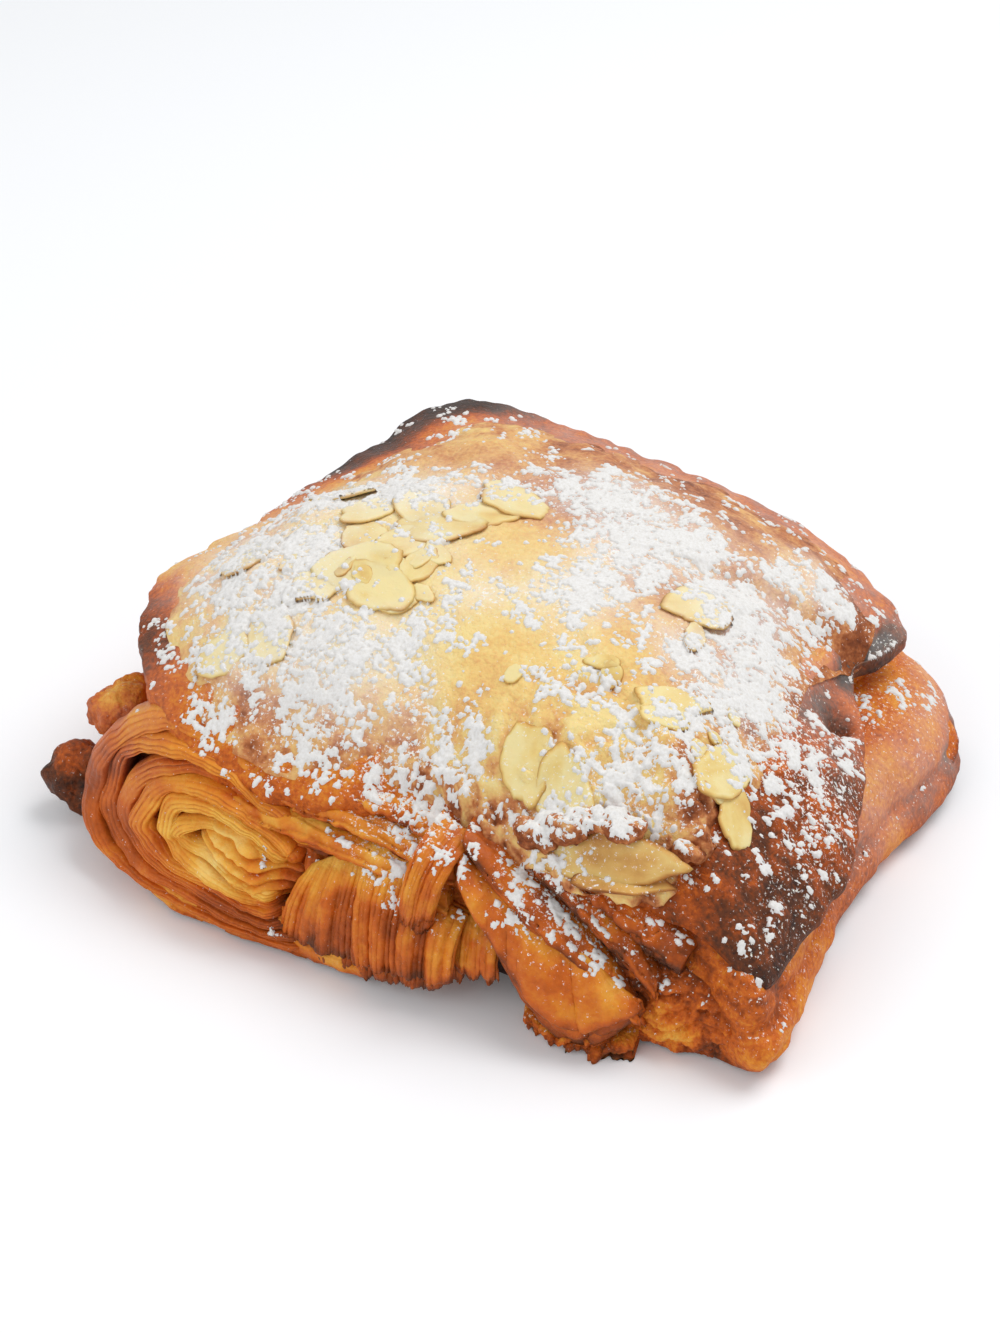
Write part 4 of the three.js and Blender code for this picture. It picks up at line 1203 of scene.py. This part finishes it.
skin_finish = dough_finish("baked_skin", 0.36, 0.5, 0.55, 0.0009, BAKE_COLOURS)
layer_finish = dough_finish("dough_layers", 0.26, 0.16, 0.4, 0.0004, BAKE_COLOURS)
cream_finish = dough_finish("cream_crust", 0.26, 0.45, 0.62, 0.0008, CREAM_COLOURS)
almond_finish = dough_finish("almond_slices", 0.22, 0.12, 0.45, 0.0002, ALMOND_COLOURS)
print("skin finish has", len(skin_finish.node_tree.nodes), "nodes")

# %% Sugar finish, and which piece gets which
SUGAR_COLOURS = [(0.3, 220, 217, 212), (0.62, 235, 234, 233)]


def sugar_finish():
    material, tree, shader = new_material("icing_sugar_grains")
    place = tree.nodes.new("ShaderNodeTexCoord").outputs["Object"]
    grain = noise_node(tree, place, 2600, 3, 0.65)
    tree.links.new(tone_ramp(tree, grain, SUGAR_COLOURS), shader.inputs["Base Color"])
    add_bumps(tree, shader, grain, 0.5, 0.0002)
    set_inputs(shader, {
        "Roughness": 0.85, "Subsurface Weight": 0.2, "Subsurface Radius": (0.0008, 0.0008, 0.0008),
        "Subsurface Scale": 1.0})
    return material


FINISHES = {
    "almond_cream_crust": cream_finish, "cream_crust_roll": cream_finish, "almond_flakes": almond_finish,
    "almond_bits": almond_finish, "icing_sugar": sugar_finish(),
}
SKINS = ("bottom_crust", "lid_skin", "torn_crumb", "crumbled_layers", "burnt_ends", "flange_rim")
for obj in DRESSED:
    plain = skin_finish if obj.name in SKINS else layer_finish
    obj.data.materials.append(FINISHES.get(obj.name, plain))
print("finishes on", len(DRESSED), "pieces")

# %% [markdown]
# ## Dust
# Between the drifts single grains lie on every face that looks up, and on the crown they close to a thin
# veil. Each point gets two marks for it, from how much sugar fell there and how level the surface is.

# %% Dust marks
for obj in DRESSED:
    mesh = obj.data
    normal = np.empty(len(mesh.vertices) * 3)
    mesh.vertex_normals.foreach_get("vector", normal)
    x, y, z = millimetres(places_of(mesh)).T
    level = normal.reshape(-1, 3)[:, 2]
    dust = np.clip(0.04 + sugar_share(x, y), 0, 1) * ramp(0.1, 0.8, level)
    dust = dust + 0.3 * ramp(46, 52, x) * ramp(-0.1, 0.5, level) * ramp(2, 8, z)
    dust = dust * (0.8 if obj in (flakes, bits) else 1)
    far_rim = ramp(-16, 4, y) * ramp(16, 26, z) * (obj is lid)
    burnt_here = burnt_rim(x, y) * (obj is lid)
    flange = ramp(46, 54, x) * ramp(2, 8, z) * ramp(18, 14, z) * (obj is bottom)
    haze = 1.25 * dust * ramp(27, 36, z) + 0.26 * far_rim * (1 - burnt_here) * ramp(-0.2, 0.6, level)
    haze = haze * (1 - ramp(-8, -22, y) * ramp(-8, 8, x))
    left = ramp(-30, -42, x)
    haze = haze + 0.2 * left * ramp(-22, -14, y) * ramp(26, 32, z) * (1 - burnt_here)
    haze = haze + 0.09 * left * ramp(-18, -30, y) * ramp(8, 18, z)
    haze = np.clip(haze + 0.3 * flange * ramp(-22, 2, y), 0, 1)
    mesh.attributes.new("dust", "FLOAT", "POINT").data.foreach_set("value", dust)
    mesh.attributes.new("haze", "FLOAT", "POINT").data.foreach_set("value", haze)
print("dust marks set")

# %% [markdown]
# ## Floor, light and camera
# The photograph has a bright white ground, broad soft light from the upper right and a pale shadow at the
# lower left. The camera looks down 35 degrees on the near right of the rolled end.

# %% Floor
bm = bmesh.new()
bmesh.ops.create_grid(bm, x_segments=1, y_segments=1, size=3)
floor_mesh = bpy.data.meshes.new("floor")
bm.to_mesh(floor_mesh)
bm.free()
floor = linked("floor", floor_mesh)
WHITE = (1, 1, 1, 1)
material, _, shader = new_material("white_ground")
set_inputs(shader, {
    "Base Color": colour(248, 250, 253), "Roughness": 0.9,
    "Emission Color": WHITE, "Emission Strength": 0.03})
floor_mesh.materials.append(material)

# %% Light
world = bpy.data.worlds.new("studio")
bpy.context.scene.world = world
world.use_nodes = True
set_inputs(world.node_tree.nodes["Background"], {"Color": WHITE, "Strength": 0.54})


def look(obj, place, aim):
    obj.location = place
    obj.rotation_euler = (Vector(aim) - Vector(place)).to_track_quat("-Z", "Y").to_euler()


def soft_box(name, place, aim, size, power):
    light = bpy.data.lights.new(name, "AREA")
    light.shape = "SQUARE"
    light.size = size
    light.energy = power
    look(linked(name, light), place, aim)


soft_box("key", (0.26, 0.24, 0.68), (0, 0, 0.02), 0.5, 3.3)
soft_box("fill", (-0.3, -0.6, 0.45), (0, 0, 0.02), 0.6, 1.6)

# %% Camera
CAMERA_PLACE = (120.0, -282.5, 236.3)
CAMERA_AIM = (-2.5, 4.3, 18.0)
CAMERA_LENS = 70.2
camera = bpy.data.cameras.new("camera")
camera.lens = CAMERA_LENS
camera.sensor_width = 36
camera.clip_start = 0.01
eye = linked("camera", camera)
look(eye, *metres([CAMERA_PLACE, CAMERA_AIM]).tolist())
bpy.context.scene.camera = eye
bpy.context.scene.view_settings.view_transform = "Standard"
print("camera at", [round(c, 4) for c in eye.location])
